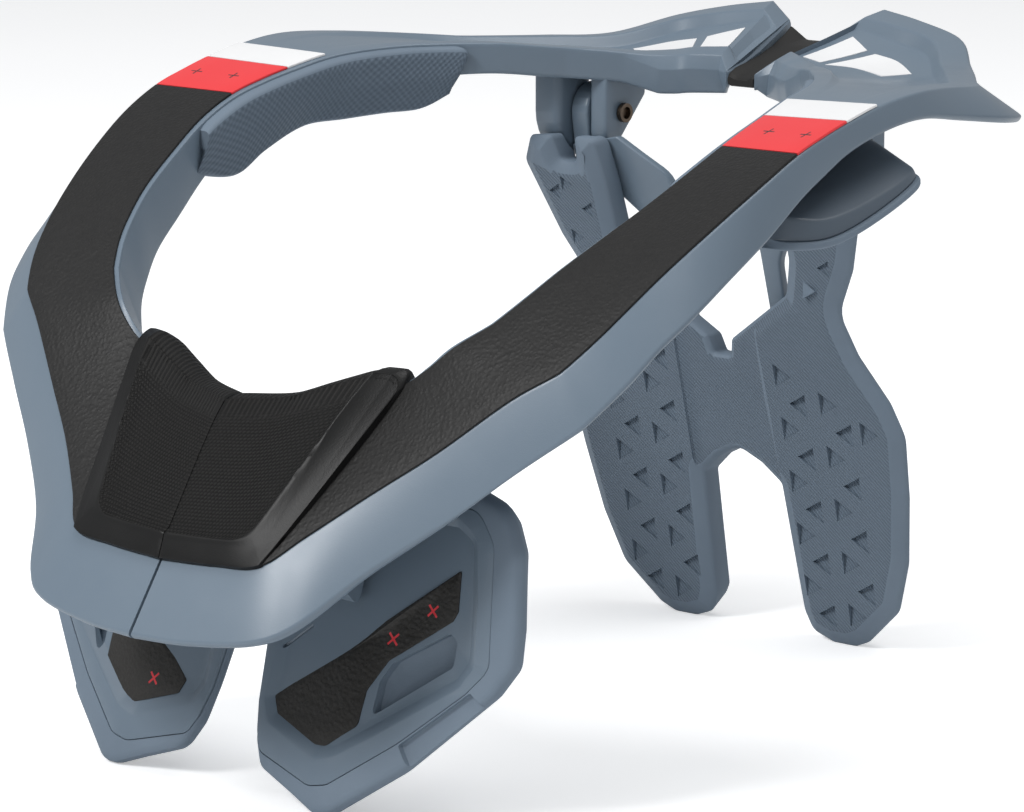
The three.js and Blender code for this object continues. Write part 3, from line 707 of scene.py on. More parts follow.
@dataclass(frozen=True)
class BandSkin:
    """Smooth printed skin, plain or with two small plus marks."""

    name: str
    colour: Colour
    marks: bool = False
    ink: Colour = shade(70, 40, 42)
    arm: float = 2.0
    line: float = 0.3
    centre: float = 2.4
    spread: float = 7.0

    def build(self) -> bpy.types.Material:
        """The material."""
        nodes = Nodes(self.name)
        cloud = nodes.noise(60.0, 2.0)
        grain = nodes.noise(1800.0, 2.0)
        worn = tuple(value * 0.93 for value in self.colour[:3]) + (1.0,)
        colour = nodes.mix(cloud, worn, self.colour)
        if self.marks:
            across, along = nodes.surface()
            near = ((across + self.centre).abs() - self.spread).abs()
            away = along.abs()
            upright = near.below(self.line) * away.below(self.arm)
            level = away.below(self.line) * near.below(self.arm)
            colour = nodes.mix(upright.larger(level), colour, self.ink)
        normal = nodes.bump(grain, 0.12, 0.0001)
        return nodes.finish(Base_Color=colour, Roughness=0.4, Normal=normal, Specular_IOR_Level=0.45)


@dataclass(frozen=True)
class StickerSkin:
    """Black grained skin with small red crosses at given places."""

    name: str = "chest_skin"
    colour: Colour = shade(22, 22, 21)
    pale: Colour = shade(58, 55, 51)
    ink: Colour = shade(205, 52, 60)
    places: tuple[tuple[float, float], ...] = ((61.2, 55.7), (50.3, 47.0))
    arm: float = 2.1
    line: float = 0.3

    def build(self) -> bpy.types.Material:
        """The material."""
        nodes = Nodes(self.name)
        pebble = nodes.pebbles(900.0)
        fine = nodes.noise(2000.0, 3.0, 0.6)
        colour = nodes.mix((fine - 0.15).clamped(), self.colour, self.pale)
        across, along = nodes.surface()
        for x, z in self.places:
            dx, dz = across.abs() - x, along - z
            one = (dx + dz) * DIAGONAL
            two = (dx - dz) * DIAGONAL
            first = one.abs().below(self.line) * two.abs().below(self.arm)
            second = two.abs().below(self.line) * one.abs().below(self.arm)
            colour = nodes.mix(first.larger(second), colour, self.ink)
        normal = nodes.bump((1 - pebble) * 0.7 + fine * 0.3, 0.6, 0.0004)
        return nodes.finish(Base_Color=colour, Roughness=0.52, Normal=normal, Specular_IOR_Level=0.4)


@dataclass(frozen=True)
class PadSkin:
    """Black knitted cloth inside a smooth rubber rim, drawn into ribs over the brow."""

    name: str = "chin_pad_skin"
    width: float = 1.25
    height: float = 1.0
    rib: float = 1.5
    cloth: Colour = shade(5, 5, 5)
    loop_tint: Colour = shade(34, 33, 32)
    rubber: Colour = shade(17, 17, 17)
    rubber_pale: Colour = shade(27, 27, 27)

    def build(self) -> bpy.types.Material:
        """The material."""
        nodes = Nodes(self.name)
        across, along = nodes.surface()
        field_way, brow_way = nodes.surface("ways")
        in_field = field_way.above(0.25)
        on_brow = ((brow_way + 2.0) / 4.0).clamped()
        row = along / self.height
        half = (row.floor() * 0.5).fract()
        x = (across / self.width + half).fract() - 0.5
        y = row.fract() - 0.5
        loop = (1 - ((x * x + y * y) * 4.2)).clamped()
        ribs = (across * (2 * math.pi / self.rib)).sin() * 0.5 + 0.5
        weave = loop * (1 - on_brow) + ribs * on_brow
        cloud = nodes.noise(300.0, 3.0)
        cloth = nodes.mix((weave * 0.8 + cloud * 0.25 - 0.1).clamped(), self.cloth, self.loop_tint)
        soft = nodes.noise(80.0, 4.0, 0.6)
        rubber = nodes.mix(soft, self.rubber, self.rubber_pale)
        colour = nodes.mix(in_field, rubber, cloth)
        grain = nodes.noise(2200.0, 2.0)
        height = weave * in_field + grain * 0.1 * (1 - in_field)
        normal = nodes.bump(height, 0.8, 0.0005)
        rough = 0.6 * in_field + (0.4 + (soft - 0.5) * 0.12) * (1 - in_field)
        return nodes.finish(Base_Color=colour, Roughness=rough, Normal=normal, Specular_IOR_Level=0.22)


@dataclass(frozen=True)
class SoftRubber:
    """Smooth black rubber with a faint bloom."""

    name: str = "bridge_rubber"
    colour: Colour = shade(18, 17, 16)
    pale: Colour = shade(30, 29, 27)
    roughness: float = 0.6

    def build(self) -> bpy.types.Material:
        """The material."""
        nodes = Nodes(self.name)
        cloud = nodes.noise(80.0, 4.0, 0.6)
        grain = nodes.noise(2200.0, 2.0)
        colour = nodes.mix(cloud, self.colour, self.pale)
        normal = nodes.bump(grain, 0.15, 0.00012)
        return nodes.finish(
            Base_Color=colour,
            Roughness=self.roughness + (cloud - 0.5) * 0.15,
            Normal=normal,
            Specular_IOR_Level=0.4,
        )


@dataclass(frozen=True)
class ScrewMetal:
    """Plated steel, browned a little."""

    name: str = "screw_metal"

    def build(self) -> bpy.types.Material:
        """The material."""
        nodes = Nodes(self.name)
        cloud = nodes.noise(400.0, 3.0)
        colour = nodes.mix(cloud, shade(84, 72, 62), shade(122, 108, 95))
        normal = nodes.bump(nodes.noise(3000.0), 0.15, 0.0001)
        return nodes.finish(Base_Color=colour, Roughness=0.36, Metallic=1.0, Normal=normal)


@dataclass(frozen=True)
class Floor:
    """The pale studio floor."""

    name: str = "studio_floor"
    glow: float = 0.38

    def build(self) -> bpy.types.Material:
        """The material."""
        nodes = Nodes(self.name)
        cloud = nodes.noise(3.0, 2.0)
        colour = nodes.mix(cloud, (0.93, 0.93, 0.93, 1.0), (0.96, 0.96, 0.96, 1.0))
        seen = nodes.node("ShaderNodeLightPath", output="Is Camera Ray")
        return nodes.finish(
            Base_Color=colour,
            Roughness=0.8,
            Specular_IOR_Level=0.1,
            Emission_Color=(1.0, 1.0, 1.0, 1.0),
            Emission_Strength=seen * self.glow,
        )


class Finishes:
    """Every finish of the brace, built once."""

    def __init__(self) -> None:
        """Builds the materials."""
        self.moulding = Moulding().build()
        dark, pale = shade(80, 91, 102), shade(90, 101, 112)
        self.shell = Moulding("shoulder_shell_plastic", dark, pale).build()
        self.blade = WovenFoam("diagonal_rib_foam", 1.0, 0.1).build()
        self.diamond = WovenFoam("diamond_rib_foam", 1.5, 0.5).build()
        self.foam = SmoothFoam().build()
        self.grain = GrainedSkin().build()
        self.red = BandSkin("red_skin", shade(232, 58, 62), marks=True).build()
        self.white = BandSkin("white_skin", shade(236, 236, 236)).build()
        self.sticker = StickerSkin().build()
        self.sticker_right = StickerSkin("chest_skin_right", places=((31.9, 24.2),)).build()
        self.pad = PadSkin().build()
        self.bridge = SoftRubber().build()
        self.metal = ScrewMetal().build()


def report(obj: bpy.types.Object, body: str, slot: str, *nodes: str) -> None:
    """Fits a piece to the frame.

    Args:
        obj: the piece.
        body: the body it moves with.
        slot: the name of a material slot; not used.
        nodes: the CAD nodes it stands for.
    """
    if nodes:
        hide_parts(*nodes)
    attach(obj, body)
    LOG.info("%s: %d faces", obj.name, len(obj.data.polygons))


# The collar.


@dataclass(frozen=True)
class Row:
    """One section of the collar, as shares of its sizes."""

    inner: tuple[float, float, float]
    outer: tuple[float, float, float]
    skirt: tuple[float, float, float]
    hem: tuple[float, float, float]
    dish: float = 0.0
    ridge: float = 0.0
    sharp: float = 0.0


@dataclass
class Collar:
    """The two moulded halves, their skins and hinge ears.

    Attributes:
        width: across the outer edges of the two arms.
        length: from the chin lip to the rear rim.
        height: from the ground to the rear rim.
        wall: thickness of the moulding.
        skirt: deepest outer wall.
        hem: deepest neck-side wall.
        dish: how far a wing sags between its edges.
        seam: half the gap of the split.
        inner_band, outer_band: widths of the flat bands beside a wing's edges.
        step: the slope from a band down into the dish.
        band_rise: how far the bands stand over a wing's edge line.
        chamfer: the slope under a wing's neck-side edge, on the rows of chamfer_rows.
        roundings: the corners of the channel's section, from the neck side round the top.
        end_rows, end_shrinks, end_depth, end_sag: the wall that closes a wing's end.
        rows: the sections, from the split to the wing's end.
        red_row, white_row, bare_row: where the red band, the white band and the bare wing start.
        skin_low, skin_high: the skins' underside and face over the arm.
        skin_margins: the bare strips beside the skins, at the outer and the neck side.
        stripes: two corners of each tapered stripe: its row, and the shares of the width it spans.
    """

    width: float = 244.0
    length: float = 306.0
    height: float = 195.0
    wall: float = 2.6
    skirt: float = 20.0
    hem: float = 20.0
    dish: float = 4.0
    seam: float = 0.5
    inner_band: float = 6.5
    outer_band: float = 9.0
    step: float = 2.6
    band_rise: float = 0.5
    chamfer: float = 4.3
    chamfer_rows: tuple[float, ...] = (22.4, 23.4, 26.0, 26.9)
    roundings: tuple[float, ...] = (0.9, 1.1, 1.6, 1.8, 14, 1.8, 1.6, 1.1, 1.2, 0.9, 2, 8, 2, 0.9, 1.2)
    end_rows: tuple[float, ...] = (26.15, 26.5, 26.8, 27.0, 27.0)
    end_shrinks: tuple[float, ...] = (0.0, 0.0, 0.0, 0.0, 0.5)
    end_depth: float = 5.2
    end_sag: float = 1.6
    per_row: int = 8
    skin_low: float = 0.05
    skin_high: float = 0.75
    skin_margins: tuple[float, float] = (0.35, 1.5)
    rows: tuple[Row, ...] = (
        Row((0, 0.142, 0.526), (0, 0.04, 0.346), (0, -0.615, -0.925), (0, 0.2, -0.8)),
        Row((0.139, 0.157, 0.533), (0.164, 0.042, 0.351), (0, -0.575, -0.94), (0, 0.2, -0.8)),
        Row((0.238, 0.168, 0.554), (0.287, 0.047, 0.36), (0.25, -0.48, -0.9), (0, 0.2, -0.8)),
        Row((0.336, 0.18, 0.577), (0.365, 0.072, 0.401), (0.3, -0.565, -1.05), (-0.05, 0.2, -0.8)),
        Row((0.41, 0.183, 0.597), (0.475, 0.105, 0.459), (0.25, -0.375, -0.95), (-0.1, 0.2, -0.85)),
        Row((0.463, 0.186, 0.621), (0.598, 0.136, 0.519), (0.325, -0.225, -0.85), (-0.175, 0.25, -0.9)),
        Row((0.516, 0.194, 0.651), (0.739, 0.17, 0.596), (0.3, -0.225, -0.875), (-0.3, 0.25, -0.95)),
        Row(
            (0.58, 0.215, 0.682), (0.83, 0.191, 0.635), (0.475, -0.075, -0.625), (-0.25, 0.225, -0.95),
            sharp=0.7,
        ),
        Row((0.624, 0.24, 0.717), (0.877, 0.217, 0.677), (0.55, 0, -0.475), (-0.2, 0.15, -0.95)),
        Row((0.657, 0.268, 0.75), (0.909, 0.246, 0.718), (0.51, 0, -0.465), (-0.15, 0.1, -0.95)),
        Row((0.687, 0.299, 0.781), (0.934, 0.277, 0.757), (0.47, 0, -0.525), (-0.1, 0.05, -0.95)),
        Row((0.721, 0.348, 0.823), (0.967, 0.327, 0.811), (0.315, 0, -0.61), (-0.05, 0, -0.95)),
        Row((0.746, 0.398, 0.865), (0.993, 0.383, 0.864), (0.14, 0, -0.675), (0, 0, -0.85)),
        Row((0.751, 0.442, 0.895), (1, 0.429, 0.899), (0.085, 0, -0.575), (0, 0, -0.7)),
        Row((0.743, 0.477, 0.912), (1, 0.464, 0.917), (0.065, 0, -0.49), (0, 0, -0.6)),
        Row((0.731, 0.512, 0.926), (1, 0.5, 0.933), (0.055, 0, -0.4), (0, 0, -0.55)),
        Row((0.703, 0.565, 0.944), (1, 0.552, 0.952), (0.1, 0.05, -0.34), (0, 0, -0.5)),
        Row((0.648, 0.626, 0.952), (0.996, 0.606, 0.961), (0.125, 0.075, -0.35), (0, 0, -0.5), 0.1, 0.1),
        Row((0.574, 0.673, 0.953), (0.967, 0.663, 0.958), (0.275, 0.1, -0.4), (0, 0, -0.5), 0.25, 0.3),
        Row(
            (0.492, 0.711, 0.952), (0.922, 0.737, 0.948), (0.475, 0.15, -0.425), (0, 0, -0.475),
            0.4, 0.6,
        ),
        Row(
            (0.41, 0.752, 0.945), (0.836, 0.789, 0.94), (0.575, 0.3, -0.44), (0, 0, -0.475),
            0.6, 0.8, 0.8,
        ),
        Row(
            (0.385, 0.765, 0.943), (0.803, 0.807, 0.939), (0.025, 0.025, -0.4), (0, 0, -0.475),
            0.65, 0.9, 0.8,
        ),
        Row((0.311, 0.794, 0.938), (0.689, 0.868, 0.938), (0, 0.015, -0.35), (0, 0, -0.475), 0.8, 1),
        Row((0.238, 0.82, 0.932), (0.574, 0.926, 0.94), (0, 0.015, -0.35), (0, 0, -0.475), 1, 1),
        Row((0.18, 0.837, 0.931), (0.451, 0.977, 0.969), (0, 0.015, -0.35), (0, 0, -0.475), 1, 1),
        Row((0.143, 0.846, 0.933), (0.311, 0.99, 0.988), (0, 0.015, -0.35), (0, 0, -0.475), 0.9, 1),
        Row((0.086, 0.866, 0.931), (0.18, 1, 1), (0, 0, -0.35), (-0.1, 0, -0.45), 0.6, 1, 1),
        Row((0.045, 0.853, 0.909), (0.111, 0.992, 0.974), (0, 0, -0.25), (0, 0, -0.25), 0, 0),
    )
    red_row: float = 13.0
    white_row: float = 15.0
    bare_row: float = 15.83
    stripes: tuple[tuple[tuple[float, float, float], tuple[float, float, float]], ...] = (
        ((24.85, 0.42, 0.74), (25.75, 0.36, 0.78)),
        ((23.2, 0.33, 0.5), (24.55, 0.42, 0.74)),
    )
    table: dict[str, np.ndarray] = field(default_factory=dict)

    def __post_init__(self) -> None:
        """Turns the rows into places in millimetres."""
        inner = np.array([self.place(row.inner) for row in self.rows])
        outer = np.array([self.place(row.outer) for row in self.rows])
        inner[0, 0] = self.seam
        outer[0, 0] = self.seam
        self.table = {
            "inner": inner,
            "outer": outer,
            "skirt": outer + np.array([row.skirt for row in self.rows]) * self.skirt,
            "hem": inner + np.array([row.hem for row in self.rows]) * self.hem,
            "dish": np.array([[row.dish * self.dish] for row in self.rows]),
            "ridge": np.array([[row.ridge] for row in self.rows]),
        }
        middle = (inner + outer) / 2
        steps = np.linalg.norm(np.diff(middle, axis=0), axis=1)
        self.run = np.concatenate([[0], np.cumsum(np.sqrt(steps))])
        self.last = len(self.rows) - 1

    def place(self, share: Sequence[float]) -> np.ndarray:
        """A place from its shares of the collar's sizes."""
        x, y, z = share
        return np.array([x * self.width / 2, (y - 0.5) * self.length, z * self.height])

    def edges(self, position: float) -> tuple[np.ndarray, np.ndarray]:
        """The neck-side and the outer edge of the top face."""
        return self.value("inner", position), self.value("outer", position)

    def value(self, key: str, position: float) -> np.ndarray:
        """A measure at any place between two rows, on a smooth curve through them."""
        values = self.table[key]
        low = min(int(position), self.last - 1)
        t = position - low
        run = self.run
        gap = run[low + 1] - run[low]

        def slope(row: int, leaving: bool) -> np.ndarray:
            """The curve's slope at a row, on one side of it."""
            own = (values[low + 1] - values[low]) / gap
            if row in (0, self.last):
                return own
            before = (values[row] - values[row - 1]) / (run[row] - run[row - 1])
            after = (values[row + 1] - values[row]) / (run[row + 1] - run[row])
            one, two = run[row] - run[row - 1], run[row + 1] - run[row]
            smooth = (before * two + after * one) / (one + two)
            sharp = self.rows[row].sharp
            return smooth * (1 - sharp) + (after if leaving else before) * sharp

        one = values[low] * (2 * t**3 - 3 * t**2 + 1) + slope(low, True) * gap * (t**3 - 2 * t**2 + t)
        two = values[low + 1] * (3 * t**2 - 2 * t**3) + slope(low + 1, False) * gap * (t**3 - t**2)
        return one + two

    def normal(self, position: float) -> np.ndarray:
        """The way up from the top face at a place along the collar."""
        reach = 0.4
        low, high = max(position - reach, 0), min(position + reach, self.last)
        along = sum(self.edges(high)) - sum(self.edges(low))
        inner, outer = self.edges(position)
        normal = unit(np.cross(outer - inner, along))
        return -normal if normal[2] < 0 else normal

    def over_top(self, position: float, share: float, height: float) -> np.ndarray:
        """A point over the top face: share runs from the outer edge, 0, to the inner, 1."""
        inner, outer = self.edges(position)
        near, far, reach = self.bands(position)
        sunk = clamp(min((share - near) / reach, (1 - far - share) / reach))
        hollow = 0.45
        sag = float(self.value("dish", position)[0]) * sunk * (1 - hollow * (2 * share - 1) ** 2)
        return outer + (inner - outer) * share + self.normal(position) * height - UP * sag

    def bands(self, position: float) -> tuple[float, float, float]:
        """The shares of the width of the outer band, the inner band and the step between."""
        inner, outer = self.edges(position)
        wide = float(np.linalg.norm(inner - outer))
        widest_outer, widest_inner = 0.24, 0.2
        near = min(self.outer_band / wide, widest_outer)
        return near, min(self.inner_band / wide, widest_inner), self.step / wide

    def section(self, position: float) -> np.ndarray:
        """The rounded outline of the channel at a place along the collar."""
        inner, outer = self.edges(position)
        skirt, hem = self.value("skirt", position), self.value("hem", position)
        near, far, reach = self.bands(position)
        rise = self.band_rise * float(self.value("ridge", position)[0])
        sloping = float(np.interp(position, self.chamfer_rows, (0, 1, 1, 0)))
        slope, lip, hem_share = 0.55, 1.4, 0.6
        sloped = (levelled(inner - outer) * slope - UP) * self.chamfer
        low_inner = inner + unit(hem - inner) * lip * (1 - sloping) + sloped * sloping
        hem = hem + sloped * sloping * hem_share

        def beside(foot: np.ndarray, top: np.ndarray, other: np.ndarray) -> np.ndarray:
            """The inner point beside a wall's foot."""
            along = unit(foot - top)
            way = other - foot
            return foot + unit(way - along * float(way @ along)) * self.wall

        def inside(corner: np.ndarray, one: np.ndarray, two: np.ndarray) -> np.ndarray:
            """The corner where the walls' inner faces meet."""
            first, second = unit(one - corner), unit(two - corner)
            half = math.acos(clamp(float(first @ second), -1.0)) / 2
            return corner + unit(first + second) * self.wall / math.sin(half)

        middle = self.over_top(position, 0.5, 0)
        corners = np.array([
            low_inner,
            inner,
            self.over_top(position, 1 - far, rise),
            self.over_top(position, 1 - far - reach, 0),
            middle,
            self.over_top(position, near + reach, 0),
            self.over_top(position, near, rise),
            outer,
            skirt,
            beside(skirt, outer, hem),
            inside(outer, middle, skirt),
            middle - self.normal(position) * self.wall,
            inside(low_inner, middle, hem),
            beside(hem, low_inner, skirt),
            hem,
        ])
        return fillet(corners, self.roundings, 3)

    def add_end(self, draft: Draft) -> None:
        """Closes the wing's end with a solid wall under its slope."""
        rings = []
        sags = ((0.75, 0.75), (0.5, 1.0), (0.25, 0.55))
        roundings = (1.0, 9, 9, 9, 1.0, 0.6, 0.6)
        for position, shrink in zip(self.end_rows, self.end_shrinks):
            inner, outer = self.edges(position)
            along = unit(np.cross(UP, inner - outer))
            along = -along if along[0] > 0 else along
            drop = self.end_sag * (position - self.last + 1)
            inside = unit(inner - outer) * shrink
            lift = UP * shrink * 1.2
            corners = [
                inner - inside - lift,
                *(outer + (inner - outer) * share - UP * sag * drop - lift for share, sag in sags),
                outer + inside - lift,
                outer + inside + lift - UP * self.end_depth,
                inner - inside + lift - UP * self.end_depth,
            ]
            rings.append(fillet(np.array(corners) + along * shrink, roundings, 4))
        draft.add_tube(np.array(rings))

    def stations(self, start: float, end: float, extra: Sequence[float] = ()) -> list[float]:
        """Places along the collar between two rows."""
        count = max(2, round((end - start) * self.per_row))
        places = [start + (end - start) * k / count for k in range(count + 1)]
        return sorted({round(place, 4) for place in [*places, *extra]})

    def build_half(self, finishes: Finishes, side: Side) -> None:
        """Builds one moulded half with its hinge ears."""
        draft = Draft()
        crease = 0.03
        wing_end = self.last - 1
        places = self.stations(0, self.last, (0.05, wing_end - crease, wing_end + crease))
        draft.add_tube(np.array([self.section(position) for position in places]))
        self.add_end(draft)
        Hinge(self).add_ears(draft)
        half = draft.make(f"collar_half_{side.label}", [finishes.moulding], side, 38)
        report(half, COLLAR_BODY, "moulded", f"collar_half_{side.label}")

    def sheet(self, start: float, end: float) -> Draft:
        """A thin skin on the top face between two places along the collar."""
        draft = Draft()
        rings = []
        roundings = (0.1, 9, 9, 9, 0.1, 0.5, 9, 9, 9, 0.5)
        for position in self.stations(start, end):
            inner, outer = self.edges(position)
            near, far = np.array(self.skin_margins) / np.linalg.norm(inner - outer)
            shares = np.linspace(1 - far, near, 5)
            under = [self.over_top(position, share, self.skin_low) for share in shares]
            over = [self.over_top(position, share, self.skin_high) for share in shares[::-1]]
            rings.append(fillet(np.array(under + over), roundings, 2))
        draft.add_tube(np.array(rings))
        return draft

    def centre_uvs(self, draft: Draft, start: float, end: float) -> None:
        """Gives a skin's faces ways from its own middle, across and along."""
        middle = (start + end) / 2
        inner, outer = self.edges(middle)
        across = unit(inner - outer)
        centre = (inner + outer) / 2
        along = np.cross(self.normal(middle), across)
        for index, face in enumerate(draft.faces):
            ways = [draft.points[corner] - centre for corner in face]
            draft.uvs[index] = [(float(way @ across), float(way @ along)) for way in ways]

    def build_skins(self, finishes: Finishes, side: Side) -> None:
        """Builds the black, red and white skins of one half."""
        gap = 0.03
        plan = (
            ("side_panel", 0.0, self.red_row - gap, finishes.grain, "grained_skin"),
            ("red_band", self.red_row, self.white_row - gap, finishes.red, "red_skin"),
            ("white_band", self.white_row, self.bare_row, finishes.white, "white_skin"),
        )
        for name, start, end, finish, slot in plan:
            draft = self.sheet(start, end)
            self.centre_uvs(draft, start, end)
            skin = draft.make(f"{name}_{side.label}", [finish], side)
            report(skin, COLLAR_BODY, slot, f"{name}_{side.label}")

    def build_stripes(self, finishes: Finishes, side: Side) -> None:
        """Builds the two plain tapered stripes on one wing."""
        draft = Draft()
        over_wing, under_wing = 0.3, -0.4
        rows, columns = 17, 11
        for start, end in self.stripes:
            rings = []
            for position, one, two in np.linspace(start, end, rows):
                shares = np.linspace(one, two, columns)
                over = [self.over_top(position, share, over_wing) for share in shares]
                under = [self.over_top(position, share, under_wing) for share in shares[::-1]]
                rings.append(over + under)
            draft.add_tube(np.array(rings))
        stripe = draft.make(f"wing_stripes_{side.label}", [finishes.white], side)
        report(stripe, COLLAR_BODY, "white_skin")

    def build(self, finishes: Finishes) -> None:
        """Builds both halves and their skins."""
        for side in Side:
            self.build_half(finishes, side)
            self.build_skins(finishes, side)
            self.build_stripes(finishes, side)


@dataclass
class Hinge:
    """The two ears under each wing, the screw through them, and the strut's tongue.

    Attributes:
        collar: the collar that carries the ears.
        back: the pivot's way from the chin lip, as a share of the length.
        drop: the pivot's way below the rear rim.
        radius: the outer ear's rounding round the pivot.
        inner_face: the near face of the strut's tongue, from the mirror plane.
        inner_ear, outer_ear, tongue: thicknesses.
        ear_back: the outer ear's rear edge, behind the pivot.
        ear_top: how far the ears reach up into the wing.
        play: the gap on each side of the tongue.
        head: the radius of the screw's head.
    """

    collar: Collar
    back: float = 0.8186
    drop: float = 32.0
    radius: float = 14.5
    inner_face: float = 44.4
    inner_ear: float = 6.4
    outer_ear: float = 10.0
    ear_back: float = 2.0
    ear_top: float = 15.2
    tongue: float = 6.6
    play: float = 0.4
    head: float = 3.0

    @property
    def y(self) -> float:
        """The pivot's place to the back."""
        return (self.back - 0.5) * self.collar.length

    @property
    def z(self) -> float:
        """The pivot's height."""
        return self.collar.height - self.drop

    def across(self, start: float) -> Layout:
        """Lays a flat outline in the Y-Z plane with its face at a way across."""

        def lay(y: float, z: float, depth: float) -> Place:
            """The place in space."""
            return (start + depth, y, z)

        return lay

    def add_ears(self, draft: Draft) -> None:
        """Adds the two ears to the collar half's draft."""
        top = self.z + self.ear_top
        rear = self.y + self.ear_back
        past = 4.0
        arc = circle((self.y, self.z), self.radius, math.pi, math.pi, 14)
        arc = [(min(y, rear), z) for y, z in arc if y < rear + past]
        outer = np.array(arc + [(rear, top), (self.y - self.radius, top)])
        start = self.inner_face + self.tongue + 2 * self.play
        Slab(outer, 0.4, self.across(start), self.outer_ear, 2.6, 1.4, 5).add_to(draft)
        short = self.radius * 0.55
        back = self.y + self.radius * 0.8
        inner = np.array([
            (self.y - short, top),
            (self.y - short, self.z - short),
            (self.y, self.z - short),
            (back, self.z + short * 0.6),
            (back, top),
        ])
        near = self.inner_face - self.inner_ear
        Slab(inner, 2.4, self.across(near), self.inner_ear, 1.0, 1.0, 5).add_to(draft)

    def round_rings(self, outline: Sequence[tuple[float, float]], sides: int) -> np.ndarray:
        """Rings round the pivot from pairs of a radius and a way across."""
        rings = []
        for radius, x in outline:
            arc = circle((self.y, self.z), radius, 0, 2 * math.pi, sides)[:-1]
            rings.append([(x, y, z) for y, z in arc])
        return np.array(rings)

    def build_screws(self, finishes: Finishes) -> None:
        """Builds the two socket-head screws."""
        for side in Side:
            draft = Draft()
            near = self.inner_face - self.inner_ear - 0.3
            socket, shank, length = 1.7, 2.5, 20.0
            outline = [
                (socket - 0.6, near - 0.2), (socket, near - 0.2), (socket + 0.2, near - 1.5),
                (self.head, near - 1.5), (self.head, near - 1.0), (self.head, near), (shank, near),
                (shank, near + length), (0.2, near + length),
            ]
            draft.add_tube(self.round_rings(outline, 28))
            screw = draft.make(f"pivot_screw_{side.label}", [finishes.metal], side)
            report(screw, COLLAR_BODY, "metal", f"pivot_screw_{side.label}")


# The pads on the collar.


